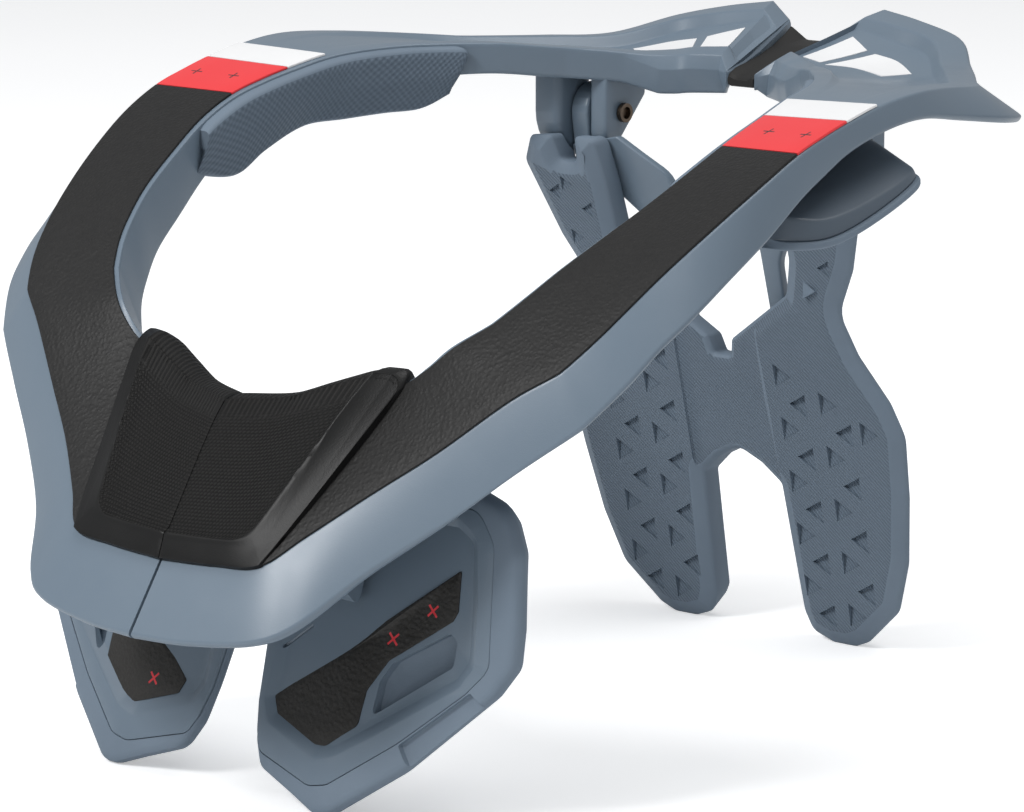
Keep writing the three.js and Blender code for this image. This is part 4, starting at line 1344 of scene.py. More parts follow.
@dataclass
class ChinPad:
    """The black pad under the chin, one half each side of the split.

    A place on the pad is its share of the way from the split to the side. A way is the share of the
    way from the front edge to the neck edge.

    Attributes:
        collar: the collar it sits on.
        crown: height of its brow.
        rim_front: width of its smooth rim at the front.
        rim_side: width of the rim at the sides.
        corner: rounding of the cloth field's corners.
        crest: how far the rim stands over the cloth.
        fade: how far inside the field the crest fades out.
        edge: height of the rim's outer edge.
        seam: half the gap of the split.
        groove: how far the split's lips dip.
        front, neck: the collar rows under the two edges, evenly from the split to the side.
        height: the pad's height on those rows, as shares of the crown.
        ways, heights: its profile from front to neck, then round the neck edge.
        brow_end: where the profile turns round the neck edge, counted in ways.
        brow: the way where the ribs start.
        front_round, neck_round: how much of the way is cut away at the side's two corners.
        end_reach: the neck edge's overhang at the side, as a share of its overhang at the split.
        outside: the mark of every face that the cloth doesn't reach.
    """

    collar: Collar
    crown: float = 8.0
    rim_front: float = 6.2
    rim_side: float = 10.0
    corner: float = 6.0
    crest: float = 0.9
    fade: float = 2.4
    edge: float = 1.3
    seam: float = 0.15
    groove: float = 0.25
    front: tuple[float, ...] = (0, 0.58, 1.12, 1.55, 1.84, 2.02, 2.1)
    neck: tuple[float, ...] = (0, 0.64, 1.36, 2.16, 2.96, 3.7, 4.25)
    height: tuple[float, ...] = (1, 1, 0.97, 0.93, 0.84, 0.7, 0.5)
    ways: tuple[float, ...] = (
        0, 0.1, 0.2, 0.35, 0.5, 0.65, 0.78, 0.86, 0.92, 0.97, 1.02, 1.06, 1.095, 1.115, 1.12, 1.11, 1.09,
    )
    heights: tuple[float, ...] = (
        0.34, 0.37, 0.45, 0.59, 0.73, 0.87, 0.97, 1.02, 1.03, 1.0, 0.9, 0.74, 0.52, 0.24, -0.06, -0.36,
        -0.62,
    )
    brow_end: int = 9
    brow: float = 0.87
    front_round: float = 0.16
    neck_round: float = 0.1
    end_reach: float = 0.35
    outside: tuple[float, float] = (-9.0, -9.0)

    def __post_init__(self) -> None:
        """Sets the net's places and ways, and measures how far each is from the side."""
        sparse, dense = np.linspace(0.012, 0.66, 26), np.linspace(0.67, 1, 60)
        self.places = np.concatenate([[0, 0.004], sparse, dense])
        self.shares = np.linspace(0, 1, len(self.front))
        self.top_ways = np.concatenate([np.linspace(0, 0.14, 22), np.linspace(0.155, 1.0, 42)])
        bend = np.linspace(self.brow_end, len(self.ways) - 1, 22)
        counts = np.arange(len(self.ways))
        self.bend = list(zip(np.interp(bend, counts, self.ways), np.interp(bend, counts, self.heights)))
        levels = (0.0, 0.5, 1.0)
        rows = np.array([[self.surface_point(place, way, 0) for place in self.places] for way in levels])
        runs = np.linalg.norm(np.diff(rows, axis=1), axis=2)
        onwards = np.cumsum(runs[:, ::-1], axis=1)[:, ::-1]
        self.side_ways = np.concatenate([onwards, np.zeros((len(levels), 1))], axis=1)
        self.deep = np.linalg.norm(rows[-1] - rows[0], axis=1)

    def surface_point(self, place: float, way: float, height: float) -> np.ndarray:
        """A point at a height over the collar."""
        front = self.collar.over_top(float(np.interp(place, self.shares, self.front)), 0, 0)
        neck = self.collar.over_top(float(np.interp(place, self.shares, self.neck)), 1, 0)
        middle = float(np.interp(place, self.shares, (np.array(self.front) + self.neck) / 2))
        return front + (neck - front) * way + self.collar.normal(middle) * height

    def field_way(self, side_way: float, front_way: float) -> float:
        """How far inside the cloth field a place is, from its ways to the pad's side and front."""
        a = self.rim_side + self.corner - side_way
        b = self.rim_front + self.corner - front_way
        out = math.hypot(max(a, 0.0), max(b, 0.0)) + min(max(a, b), 0.0)
        return self.corner - out

    def lift(self, way: float, scale: float, inside: float, outer: float) -> float:
        """The pad's height: cloth, crest, and the rim's slope to its outer edge."""
        top = self.brow_end - 1
        base = self.heights[top] if way > self.ways[top] else float(np.interp(way, self.ways, self.heights))
        base *= scale * self.crown
        if inside > 0:
            fall = max(0.0, 1 - inside / self.fade)
            return base + self.crest * fall * fall * (3 - 2 * fall)
        share = clamp(outer / max(outer - inside, TINY))
        bulge = 0.8
        return self.edge + (base + self.crest - self.edge) * share**bulge

    def ring(self, index: int) -> tuple[list, list, list]:
        """One ring of the net, from the front edge over the top and round the neck edge.

        Args:
            index: the number of its place.

        Returns:
            Its points, their marks and their flat places.
        """
        place = self.places[index]
        scale = float(np.interp(place, self.shares, self.height))
        front_cut = self.front_round * max(0.0, (place - 0.86) / 0.14) ** 2.4
        neck_cut = self.neck_round * max(0.0, (place - 0.8) / 0.2) ** 2.2
        reach = 1 - (1 - self.end_reach) * max(0.0, (place - 0.6) / 0.4)
        dip = self.groove if index == 0 else 0.0
        run = self.rim_side + self.side_ways[1, 0] - self.side_ways[1, index]
        plan = [(front_cut + (1 - front_cut) * way, way, 1.0) for way in self.top_ways]
        plan.extend((1 + (way - 1) * reach if way > 1 else way, way, fall) for way, fall in self.bend)
        points = [self.surface_point(place, front_cut, -0.3)]
        marks = [self.outside]
        flats = [(0.0, 0.0)]
        for way, base_way, fall in plan:
            way *= 1 - neck_cut
            side_way = float(np.interp(min(way, 1.0), (0, 0.5, 1), self.side_ways[:, index]))
            front_way = (base_way - front_cut * 0.4) * self.deep[index]
            inside = self.field_way(side_way, max(front_way, 0.0))
            outer = min(side_way, max(front_way, 0.0))
            tall = self.lift(min(base_way, 1.0), scale, inside, outer) - dip
            tall = tall * fall if fall > 0 else self.crown * scale * fall
            points.append(self.surface_point(place, way, tall))
            marks.append((inside, (base_way - self.brow) * self.deep[index]))
            flats.append((run, base_way * self.deep[0]))
        closing = 0.05
        points.append((points[0] + points[-1]) / 2 + (points[10] - points[0]) * closing)
        marks.append(self.outside)
        flats.append((0.0, 0.0))
        return points, marks, flats

    def build(self, finishes: Finishes) -> None:
        """Builds both halves."""
        rings, marks, flats = (list(part) for part in zip(*map(self.ring, range(len(self.places)))))
        rings = np.array(rings)
        rings[0, :, 0] = self.seam
        last = rings[-1].copy()
        held, sunk = 0.1, -0.4
        for k in range(1, 66):
            low = self.surface_point(1.0, min(1.0, k / len(last)), sunk)
            last[k] = last[k] * held + low * (1 - held)
        marks.append([self.outside] * len(last))
        flats.append(flats[-1])
        draft = Draft()
        draft.add_tube(np.concatenate([rings, last[None]]))
        draft.marks = dict(enumerate(mark for ring in marks for mark in ring))
        flat = [place for ring in flats for place in ring]
        draft.uvs = [[flat[point] for point in face] for face in draft.faces]
        for side in Side:
            pad = draft.make(f"chin_pad_{side.label}", [finishes.pad], side, 40)
            report(pad, COLLAR_BODY, "woven_pad", f"chin_pad_{side.label}")


@dataclass
class RearBridge:
    """The black rubber block that fills the gap between the two wings behind the neck.

    Attributes:
        collar: the collar it belongs to.
        play: the fine gap beside each wing.
        rows: the way to the back, the half width, the height at the wings and in the middle, and
            the height of the underside, as shares of the collar's length, width and height.
        waist: where the middle's level part ends, as a share of the half width.
        tongue: the half width, the front, the rear and the height of the tongue, as shares.
    """

    collar: Collar
    play: float = 0.4
    waist: float = 0.42
    tongue: tuple[float, float, float, float] = (0.16, 0.88, 0.95, 0.9)
    rows: tuple[tuple[float, float, float, float, float], ...] = (
        (0.8535, 0.044, 0.903, 0.897, 0.888),
        (0.857, 0.047, 0.909, 0.9, 0.886),
        (0.87, 0.055, 0.915, 0.906, 0.888),
        (0.89, 0.062, 0.919, 0.915, 0.894),
        (0.917, 0.071, 0.926, 0.928, 0.9),
        (0.945, 0.081, 0.938, 0.94, 0.906),
        (0.97, 0.09, 0.955, 0.944, 0.912),
        (0.984, 0.1, 0.965, 0.943, 0.915),
        (0.9875, 0.102, 0.955, 0.938, 0.92),
    )

    def build(self, finishes: Finishes) -> None:
        """Builds the block as one piece across the mirror plane."""
        rings = []
        table = np.array(self.rows)
        dense = np.linspace(0, len(table) - 1, 4 * len(table) - 3)
        columns = [np.interp(dense, np.arange(len(table)), column) for column in table.T]
        roundings = (1.2, 0.8, 3, 2, 3, 0.8, 1.2)
        for back, wide, side_top, middle_top, under in zip(*columns):
            reach, y, high = self.collar.place((wide, back, side_top))
            low, floor = middle_top * self.collar.height, under * self.collar.height
            reach -= self.play
            half = [(reach, floor), (reach, high), (self.waist * reach, low), (0, low)]
            places = [*half, *((-x, z) for x, z in reversed(half[:-1]))]
            rings.append(fillet(np.array([(x, y, z) for x, z in places]), roundings, 4))
        draft = Draft()
        draft.add_tube(np.array(rings))
        self.add_tongue(draft)
        block = draft.make("rear_bridge", [finishes.bridge])
        report(block, COLLAR_BODY, "rubber", "rear_bridge")

    def add_tongue(self, draft: Draft) -> None:
        """Adds the flat tongue under the block that reaches into both wings."""
        rings = []
        wide, front, rear, height = self.tongue
        reach, y_front, floor = self.collar.place((wide, front, height))
        y_rear = self.collar.place((wide, rear, height))[1]
        thick, tilt = 2.0, 2.5
        for x in np.linspace(-reach, reach, 13):
            corners = np.array([
                (x, y_front, floor),
                (x, y_front, floor + thick),
                (x, y_rear, floor + thick + tilt),
                (x, y_rear, floor + tilt),
            ])
            rings.append(fillet(corners, (0.6, 0.6, 0.6, 0.6), 2))
        draft.add_tube(np.array(rings))


@dataclass
class ShoulderPad:
    """The foam under and inside each arm, with the hard sheet on top of it.

    Attributes:
        collar: the collar that carries it.
        face: foam in front of the neck-side wall.
        lip: height of the outer lip.
        rim: width of the outer lip.
        shell: thickness of the hard sheet.
        rise: slope of the sheet towards the neck.
        step: the ledge between the lip and the sheet.
        fold: height of the sheet's outer edge over the lip, row by row.
        at: the collar row beside each row.
        neck, outer: the foam's lower edges, as shares of the collar's sizes.
        rows: rings along the foam.
        ends: how far the neck-side face is drawn in at the first and last rings.
    """

    collar: Collar
    face: float = 4.2
    lip: float = 2.6
    rim: float = 1.4
    shell: float = 2.0
    rise: float = 0.42
    step: float = 0.8
    rows: int = 64
    fold: tuple[float, ...] = (7.5, 6.6, 5, 3.6, 2.2, 1.7, 1.6, 1.6)
    at: tuple[float, ...] = (11.8, 12.8, 14, 15.4, 16.2, 16.9, 17.6, 18.3)
    neck: tuple[tuple[float, float, float], ...] = (
        (0.738, 0.381, 0.782), (0.746, 0.44, 0.771), (0.738, 0.479, 0.805), (0.73, 0.531, 0.836),
        (0.693, 0.574, 0.841), (0.656, 0.616, 0.846), (0.615, 0.652, 0.85), (0.574, 0.673, 0.871),
    )
    outer: tuple[tuple[float, float, float], ...] = (
        (0.918, 0.425, 0.768), (0.984, 0.433, 0.764), (1.033, 0.466, 0.767), (1.049, 0.521, 0.792),
        (1.041, 0.585, 0.828), (0.978, 0.6, 0.838), (0.875, 0.618, 0.846), (0.765, 0.64, 0.868),
    )
    ends: tuple[tuple[int, float], ...] = (
        (0, 0.82), (1, 0.92), (2, 0.975), (61, 0.9), (62, 0.75), (63, 0.5),
    )

    def curve(self, rows: Sequence[Sequence[float]], position: float) -> np.ndarray:
        """A smooth curve through rows, at a place counted in rows."""
        values = np.array(rows, dtype=float)
        if values.ndim == 1:
            values = values[:, None]
        low = min(int(position), len(values) - 2)
        t = position - low
        one = values[max(low - 1, 0)]
        two, three = values[low], values[low + 1]
        four = values[min(low + 2, len(values) - 1)]
        return 0.5 * (
            2 * two + (three - one) * t + (2 * one - 5 * two + 4 * three - four) * t**2
            + (3 * two - one - 3 * three + four) * t**3
        )

    def section(self, position: float) -> dict[str, np.ndarray]:
        """The foam's and the sheet's measures at a place counted in rows."""
        low = self.collar.place(self.curve(self.neck, position))
        rim = self.collar.place(self.curve(self.outer, position))
        inward = levelled(low - rim)
        fold = float(self.curve(self.fold, position)[0])
        seat = rim + inward * (self.rim + self.step) + UP * (self.lip + fold - self.shell)
        reach = float((low - rim) @ inward) - self.rim - self.step - self.face
        inner, outer = self.collar.edges(float(self.curve(self.at, position)[0]))
        neckward = levelled(inner - outer)
        below_edge = 1.2
        return {
            "low": low,
            "rim": rim,
            "inward": inward,
            "seat": seat,
            "seat_end": seat + (inward + UP * self.rise) * reach,
            "neckward": neckward,
            "brow": inner + neckward * self.face - UP * below_edge,
        }

    def foam_ring(self, index: int, position: float) -> np.ndarray:
        """One ring of the foam, whose neck-side face is drawn in near the ends."""
        m = self.section(position)
        hem = m["brow"] - m["neckward"] * (self.face + 1.5)
        corners = np.array([
            hem + UP * 0.4,
            m["brow"],
            (m["low"] + m["brow"]) / 2 + m["neckward"] * 0.8,
            m["low"],
            m["rim"],
            m["rim"] + UP * self.lip,
            m["rim"] + UP * self.lip + m["inward"] * (self.rim + 0.6),
            m["seat"] + m["inward"] * 0.4 - UP * 0.2,
            m["seat_end"] - UP * 0.3,
            hem - UP * 6,
        ])
        ring = fillet(corners, (0.6, 3.2, 14, 2.6, 3.2, 1.8, 0.5, 0.3, 1, 1), 5)
        for end, size in self.ends:
            if index == end:
                middle = (m["brow"] + m["low"]) / 2 - m["neckward"] * 2.0
                face = ring[:20]
                ring[:20] = middle + (face - middle) * (1 + size) / 2
        return ring

    def shell_ring(self, position: float) -> np.ndarray:
        """One ring of the hard sheet."""
        m = self.section(position)
        foot = m["rim"] + m["inward"] * self.rim + UP * (self.lip + 0.25)
        start = m["seat"] + m["inward"] * 0.2
        end = m["seat"] + (m["seat_end"] - m["seat"]) * 0.62
        crown = (start + end) / 2 + UP * (self.shell + 0.7)
        corners = np.array([
            foot + m["inward"] * 1.6,
            start + m["inward"] * 1.2,
            end,
            end + UP * self.shell,
            crown,
            start + UP * self.shell,
            foot,
        ])
        return fillet(corners, (0.2, 0.4, 0.3, 1, 14, 2.2, 0.4), 4)

    def build(self, finishes: Finishes) -> None:
        """Builds the foam and the sheet on both sides."""
        places = np.linspace(0, len(self.at) - 1, self.rows)

        def slot_of(ring: int, place: int) -> int:
            """The ribbed face towards the neck, and the smooth rest."""
            return 0 if 9 <= place < 20 else 1

        foam_draft, shell_draft = Draft(), Draft()
        rings = [self.foam_ring(index, position) for index, position in enumerate(places)]
        foam_draft.add_tube(np.array(rings), True, slot_of)
        shell_draft.add_tube(np.array([self.shell_ring(position) for position in places]))
        for side in Side:
            dress = [finishes.diamond, finishes.foam]
            foam = foam_draft.make(f"shoulder_foam_{side.label}", dress, side, 50)
            report(foam, COLLAR_BODY, "foam", f"shoulder_foam_{side.label}")
            shell = shell_draft.make(f"shoulder_shell_{side.label}", [finishes.shell], side)
            report(shell, COLLAR_BODY, "moulded", f"shoulder_shell_{side.label}")


# The chest pieces.


@dataclass
class ChestPiece:
    """One chest foot: a bracket, a hard shell, its dark skin and the foam behind it.

    Attributes:
        collar: the collar that carries it.
        front: the shell's foot, behind the chin lip.
        lean: backwards for each millimetre up.
        slant: forwards for each millimetre outwards.
        wrap: backwards for each millimetre outwards, past the bend.
        bend: where the wrap starts.
        soft: how softly it starts.
        unwrap: how much less it wraps for each millimetre over the level.
        level: the height where the unwrapping starts.
        seat: the play of the shell's seat in the foam.
        slide: how far the skin and the window of the right piece lie further out.
        sink: depth of the shell's field.
        foam_profile: the foam's edge as ways inwards and depths, from its back to its face.
        shell_outline and the others: places across and up, each with its rounding.
    """

    collar: Collar
    front: float = 30.5
    lean: float = 0.369
    slant: float = 0.049
    wrap: float = 0.235
    bend: float = 40.0
    soft: float = 3.0
    unwrap: float = 0.006
    level: float = 43.0
    seat: float = 0.15
    slide: float = 8.3
    sink: float = 2.1
    foam_profile: tuple[tuple[float, float], ...] = (
        (9.6, 14), (8.4, 13.6), (6.2, 11.4), (3.6, 8.2), (1.4, 5.4), (0.3, 3.9), (0, 3), (0.2, 1.9),
        (0.9, 0.8), (1.8, 0.2), (3, 0),
    )
    shell_outline: Outline = (
        (8.6, 82, 6), (7.3, 40.4, 20), (9.3, 25, 10), (11.3, 17.4, 8), (14, 12.6, 4), (35, 7.3, 7),
        (41.4, 8.6, 6), (59.4, 21.3, 30), (76.4, 36.2, 8), (81.8, 43, 7), (80.4, 76, 8), (74, 84, 8),
        (20, 86, 8),
    )
    foam_outline: Outline = (
        (8, 82, 6), (6.6, 40, 20), (8.5, 25, 10), (10.6, 15, 8), (14.6, 8, 6), (28.5, 3.4, 20),
        (37.4, 0.2, 8), (43.5, 0.2, 8), (63.4, 14.4, 20), (85, 36, 8), (89.4, 44, 8), (90, 54, 20),
        (89, 74, 12), (83.5, 86, 10), (72, 89, 10), (20, 87, 8),
    )
    field_outline: Outline = (
        (12.2, 70, 5), (11.4, 26, 4), (14.6, 20.6, 4), (34.5, 14.3, 6), (41.4, 16, 8),
        (74.1, 37.7, 6), (77, 44, 7), (76, 60.9, 20), (74, 77, 6), (66, 81, 6), (22, 80, 5),
    )
    skin_outline: Outline = (
        (11.8, 25.4, 0.8), (13.6, 21.6, 1.2), (28.9, 17, 2.5), (36.4, 17.4, 3), (45.3, 24, 2.5),
        (45.6, 33.1, 3), (50.2, 41.3, 3), (67.9, 53.8, 1.2), (69.2, 56.4, 1), (68.6, 67.4, 0.6),
    )
    window_outline: Outline = (
        (48.4, 26.2, 1.5), (48.6, 36, 3), (51.4, 41, 2.5), (67.6, 51, 2), (70.2, 48.6, 1.5), (70, 41.8, 2),
    )
    slot_outline: Outline = ((12.7, 39.7, 0.1), (13.1, 39.1, 0.1), (21.5, 45.9, 0.1), (21.1, 46.5, 0.1))
    hole_outline: Outline = (
        (50.4, 28.4, 0.6), (52.4, 34, 0.6), (58.6, 32.6, 0.6),
    )
    notch_outline: Outline = (
        (60.2, 21.2, 0.6), (67.5, 12, 0.6), (87, 31, 0.6), (77.8, 36.8, 0.6),
    )

    def to_space(self, x: float, z: float, depth: float) -> tuple[float, float, float]:
        """A place on the piece, a way behind the shell's face."""
        past = x - self.bend
        wrapped = (math.sqrt(past * past + self.soft * self.soft) + past) / 2
        start = self.front - self.collar.length / 2
        turn = self.wrap - self.unwrap * max(z - self.level, 0.0)
        y = start + self.lean * z - self.slant * x + turn * wrapped + depth
        return (x, y, z)

    def slab(self, outline: Outline, start: float, thickness: float, **more: object) -> Slab:
        """A slab on the piece from an outline of places and roundings."""
        table = np.array(outline)

        def lay(x: float, z: float, depth: float) -> Place:
            """The place in space."""
            return self.to_space(x, z, start + depth)

        return Slab(table[:, :2], table[:, 2], lay, thickness, **more)

    def placed(self, outline: Outline, side: Side) -> Outline:
        """An outline of the skin or the window, which lies further out on the right piece."""
        if side is Side.LEFT:
            return outline
        end, fade = 76, 26
        return tuple((x + self.slide * clamp((end - x) / fade), z, radius) for x, z, radius in outline)

    def build(self, finishes: Finishes) -> None:
        """Builds both chest pieces."""
        for side in Side:
            self.build_shell(finishes, side)
            self.build_foam(finishes, side)
            self.build_skin(finishes, side)
            self.build_bracket(finishes, side)

    def tool(
        self,
        outline: Outline,
        start: float,
        end: float,
        side: Side,
        slope: float = 0.6,
        grown: float = 0.0,
    ) -> bpy.types.Object:
        """A tool for a cut.

        Args:
            outline: its places and roundings.
            start: the depth where it starts.
            end: the depth of its floor.
            side: the side it is made for.
            slope: how far its wall comes in between the face and the floor.
            grown: how far it stands outside the outline.

        Returns:
            The tool.
        """
        draft = Draft()
        wide = slope > 1
        rim = (-0.5 - grown, 0.0) if wide else (-grown, -0.1)
        profile = (
            (slope + 0.4 - grown, end),
            (slope - 0.1 - grown, end - 0.3),
            (-grown, 0.15),
            rim,
            (start * slope / end - grown, start),
        )
        self.slab(outline, 0, end, profile=profile).add_to(draft)
        return draft.make("tool", [], side)

    def build_shell(self, finishes: Finishes, side: Side) -> None:
        """Builds the hard shell with its sunk field and its window."""
        draft = Draft()
        self.slab(self.shell_outline, 0, 3.0, front=0.35, back=0.3).add_to(draft)
        shell = draft.make(f"chest_shell_{side.label}", [finishes.moulding], side)
        window = self.tool(self.placed(self.window_outline, side), -3, 5, side)
        slot = self.tool(self.slot_outline, -3, 2.6, side, 0)
        field_tool = self.tool(self.field_outline, -3, self.sink, side, 2.4)
        cut(shell, field_tool, window, slot)
        report(shell, COLLAR_BODY, "moulded", f"chest_shell_{side.label}")

    def build_foam(self, finishes: Finishes, side: Side) -> None:
        """Builds the foam round and behind the shell, with the pocket behind the window."""
        draft = Draft()
        self.slab(self.foam_outline, 0, self.foam_profile[0][1], profile=self.foam_profile).add_to(draft)
        foam = draft.make(f"chest_foam_{side.label}", [finishes.foam], side, 40)
        seat = self.tool(self.shell_outline, -2, 3.1, side, 0, self.seat)
        pocket = self.tool(self.placed(self.window_outline, side), 0, 5.2, side)
        hole = self.tool(self.placed(self.hole_outline, side), 0, 9.5, side, 0.3)
        notch = self.tool(self.notch_outline, -2, 1.6, side, 0.3)
        cut(foam, seat, pocket, hole, notch)
        report(foam, COLLAR_BODY, "foam", f"chest_foam_{side.label}")

    def build_skin(self, finishes: Finishes, side: Side) -> None:
        """Builds the dark skin in the shell's field."""
        draft = Draft()
        outline = self.placed(self.skin_outline, side)
        self.slab(outline, 1.75, 0.5, front=0.15, back=0.1, pitch=3).add_to(draft)
        finish = finishes.sticker if side is Side.LEFT else finishes.sticker_right
        skin = draft.make(f"chest_sticker_{side.label}", [finish], side)
        report(skin, COLLAR_BODY, "grained_skin", f"chest_sticker_{side.label}")

    def build_bracket(self, finishes: Finishes, side: Side) -> None:
        """Builds the bracket up into the collar's channel."""
        draft = Draft()
        rings = []
        for x in np.linspace(25, 38, 7):
            low, high = self.to_space(x, 54, 0.1), self.to_space(x, 80, 0.1)
            top = self.collar.over_top(2.0 + (x - 30) * 0.06, 0.62, -self.collar.wall - 0.3)
            neckward = self.collar.place((0, 0.15, 0))[1]
            _, knee_y, knee_z = self.collar.place((0, 0.103, 0.37))
            corners = np.array([
                low,
                high,
                (x, neckward, high[2] + 3),
                (x, top[1] + 5, top[2] + 1.0),
                (x, top[1] - 5, top[2] - 5.0),
                (x, knee_y, knee_z),
            ])
            rings.append(fillet(corners, (2, 2, 3, 1, 1, 5), 4))
        draft.add_tube(np.array(rings))
        bracket = draft.make(f"chest_bracket_{side.label}", [finishes.moulding], side)
        report(bracket, COLLAR_BODY, "moulded", f"chest_bracket_{side.label}")


# The back unit.


@dataclass
class BackUnit:
    """The H-shaped back pad with its pockets, and the two struts behind it.

    Attributes:
        hinge: the hinge it turns on.
        foam: thickness of the pad.
        foot: its face at the ground, behind the pivot.
        lean: forwards for each millimetre up.
        arch: how far its top curls forwards.
        drop: the pad's upper corners, below the pivot.
        bevel: width of the bevel round its face.
        clear: room round the ears.
        half_outline: the left half of the H, with its roundings.
        pockets: columns of pockets: across, the lowest one's height, the way they point, how many,
            and their size.
        pitch: from pocket to pocket in a column.
        straight: depth of the square part of the edge.
        bare_height: the height where the ribbed finish ends.
        draw_in: how far the sides draw in for each millimetre of depth, within side_band of the
            edge, whose ways across stand at edge_heights.
        strut_outline: the strut behind one blade.
        strut, strut_gap: its thickness, and its way behind the pad.
        knuckle, knuckle_foot: the rounding of its tongue, and the height where that starts.
    """

    hinge: Hinge
    foam: float = 10.0
    foot: float = 22.8
    lean: float = 0.2
    arch: float = 12.0
    drop: float = 6.0
    bevel: float = 5.0
    clear: float = 0.7
    strut: float = 3.4
    strut_gap: float = 0.3
    knuckle: float = 9.0
    knuckle_foot: float = 146.0
    half_outline: Outline = (
        (0, 91, 1.2), (3.2, 91, 1.2), (4.6, 96.5, 2), (29.5, 113.5, 5), (33, 125, 8), (33.2, 143, 2),
        (34.5, 157, 3), (42.4, 157, 2), (43.8, 148.6, 2), (50, 148.6, 2), (51.6, 157, 2),
        (60.5, 156, 3), (65.2, 147.5, 4), (56.6, 124, 10), (48.4, 109.5, 10), (53.4, 95.5, 12),
        (62.6, 81.5, 10), (65.8, 72.5, 10), (64, 53, 30), (60.4, 31, 16), (54.6, 14.4, 8),
        (41.4, 2.2, 7), (35.8, -0.2, 5), (27.6, -0.2, 4), (20, 2.6, 5), (17.4, 9, 8),
        (15.1, 50.6, 2.5), (8.5, 56.4, 6), (0, 60.6, 6),
    )
    pockets: tuple[tuple[float, float, int, int, float], ...] = (
        (23.3, 18.3, 1, 5, 1.0), (29.6, 9.6, -1, 5, 1.0), (39.3, 11.1, 1, 5, 1.0),
        (45.8, 19.4, -1, 4, 1.0), (53.4, 72.2, 1, 1, 1.0), (40.6, 116.5, 1, 2, 0.7),
        (48.4, 124, -1, 2, 0.7), (52.5, 138.6, 1, 1, 0.7),
    )
    pitch: float = 17.2
    straight: float = 3.2
    bare_height: float = 145.0
    draw_in: float = 0.86
    side_band: float = 15.0
    edge_heights: tuple[float, ...] = (0, 14, 31, 53, 72, 81, 95, 109, 124, 147, 157)
    edge_ways: tuple[float, ...] = (41, 54.6, 60.4, 64, 65.8, 62.6, 53.4, 48.4, 56.6, 65.2, 61)
    strut_outline: Outline = (
        (27, 15.6, 4), (44, 15.6, 5), (53, 32, 10), (56, 56, 14), (53, 72, 14), (40, 84, 14),
        (27, 93, 10), (21.8, 104, 8), (22.6, 122, 10), (28, 131.5, 10), (42, 143, 8), (51, 149, 2),
        (51, 153, 1), (32, 157, 2), (24, 152, 8), (13, 145.5, 8), (15.8, 125, 12), (15.4, 104, 8),
        (15, 92, 8), (20, 80, 10), (22, 62, 12), (21, 36, 12),
    )

    @property
    def rise(self) -> float:
        """Height of the pad's upper corners."""
        return self.hinge.z - self.drop

    def face(self, z: float) -> float:
        """The pad's front face at a height."""
        return self.hinge.y + self.foot - self.lean * z - self.arch * (z / self.rise) ** 2

    def behind(self, start: float) -> Layout:
        """Lays a flat outline on the pad, with its face a way behind the pad's."""

        def lay(x: float, z: float, depth: float) -> Place:
            """The place in space."""
            return (x, self.face(z) + start + depth, z)

        return lay

    def pad_space(self, x: float, z: float, depth: float) -> tuple[float, float, float]:
        """A place on the pad: its outer sides draw in towards the back."""
        edge = float(np.interp(z, self.edge_heights, self.edge_ways))
        near = clamp((abs(x) - edge + self.side_band) / self.side_band)
        past = max(0.0, depth - self.straight)
        x -= math.copysign(self.draw_in * past * near, x)
        low = max(0.0, 1 - z / self.side_band)
        return (x, self.face(z) + depth, z + self.draw_in * past * low)

    def outline(self) -> tuple[np.ndarray, np.ndarray]:
        """The whole H and its roundings."""
        half = np.array(self.half_outline)
        right = half[1:-1][::-1].copy()
        right[:, 0] *= -1
        whole = np.concatenate([half, right])
        return whole[:, :2], whole[:, 2]

    def build(self, finishes: Finishes) -> None:
        """Builds the pad and the struts."""
        self.build_pad(finishes)
        for side in Side:
            self.build_strut(finishes, side)

    def build_pad(self, finishes: Finishes) -> None:
        """Builds the pad with its bevel, web, pockets and the seats round the ears."""
        corners, radii = self.outline()
        draft = Draft()
        profile = (
            (1.2, self.foam), (0.5, self.foam - 0.3), (0.1, self.foam - 0.8), (0, self.foam - 1.4),
            (0, self.foam * 0.65), (0, self.straight), (0.35, self.bevel * 0.5), (1.2, self.bevel * 0.36),
            (self.bevel - 0.9, 0.35), (self.bevel - 0.3, 0.06), (self.bevel + 0.4, 0),
        )
        Slab(corners, radii, self.pad_space, self.foam, steps=4, profile=profile).add_to(draft)
        pad = draft.make("back_pad", [finishes.blade, finishes.foam], sharp=24)
        cut(pad, self.web_tool(), self.pocket_tool(), *self.ear_tools())
        self.split_finishes(pad)
        report(pad, BACK_BODY, "foam", "back_pad")

    def web_tool(self) -> bpy.types.Object:
        """The tool that sinks the web between the blades."""
        draft = Draft()
        outline = np.array([(-17.5, 40), (17.5, 40), (16.4, 118), (-16.4, 118)])
        ahead, sunk = 8.0, 1.4
        Slab(outline, 0.5, self.behind(-ahead), ahead + sunk, 0.2, 0.2).add_to(draft)
        return draft.make("web_tool", [])

    def ear_tools(self) -> list[bpy.types.Object]:
        """The tools that clear the ears of both sides."""
        hinge = self.hinge
        radius = hinge.radius + self.clear
        low = hinge.inner_face - hinge.inner_ear - self.clear
        high = hinge.inner_face + hinge.tongue + 2 * hinge.play + hinge.outer_ear + 0.8
        draft = Draft()
        draft.add_tube(hinge.round_rings([(radius, low), (radius, high)], 48))
        return [draft.make("ear_tool", [], side) for side in Side]

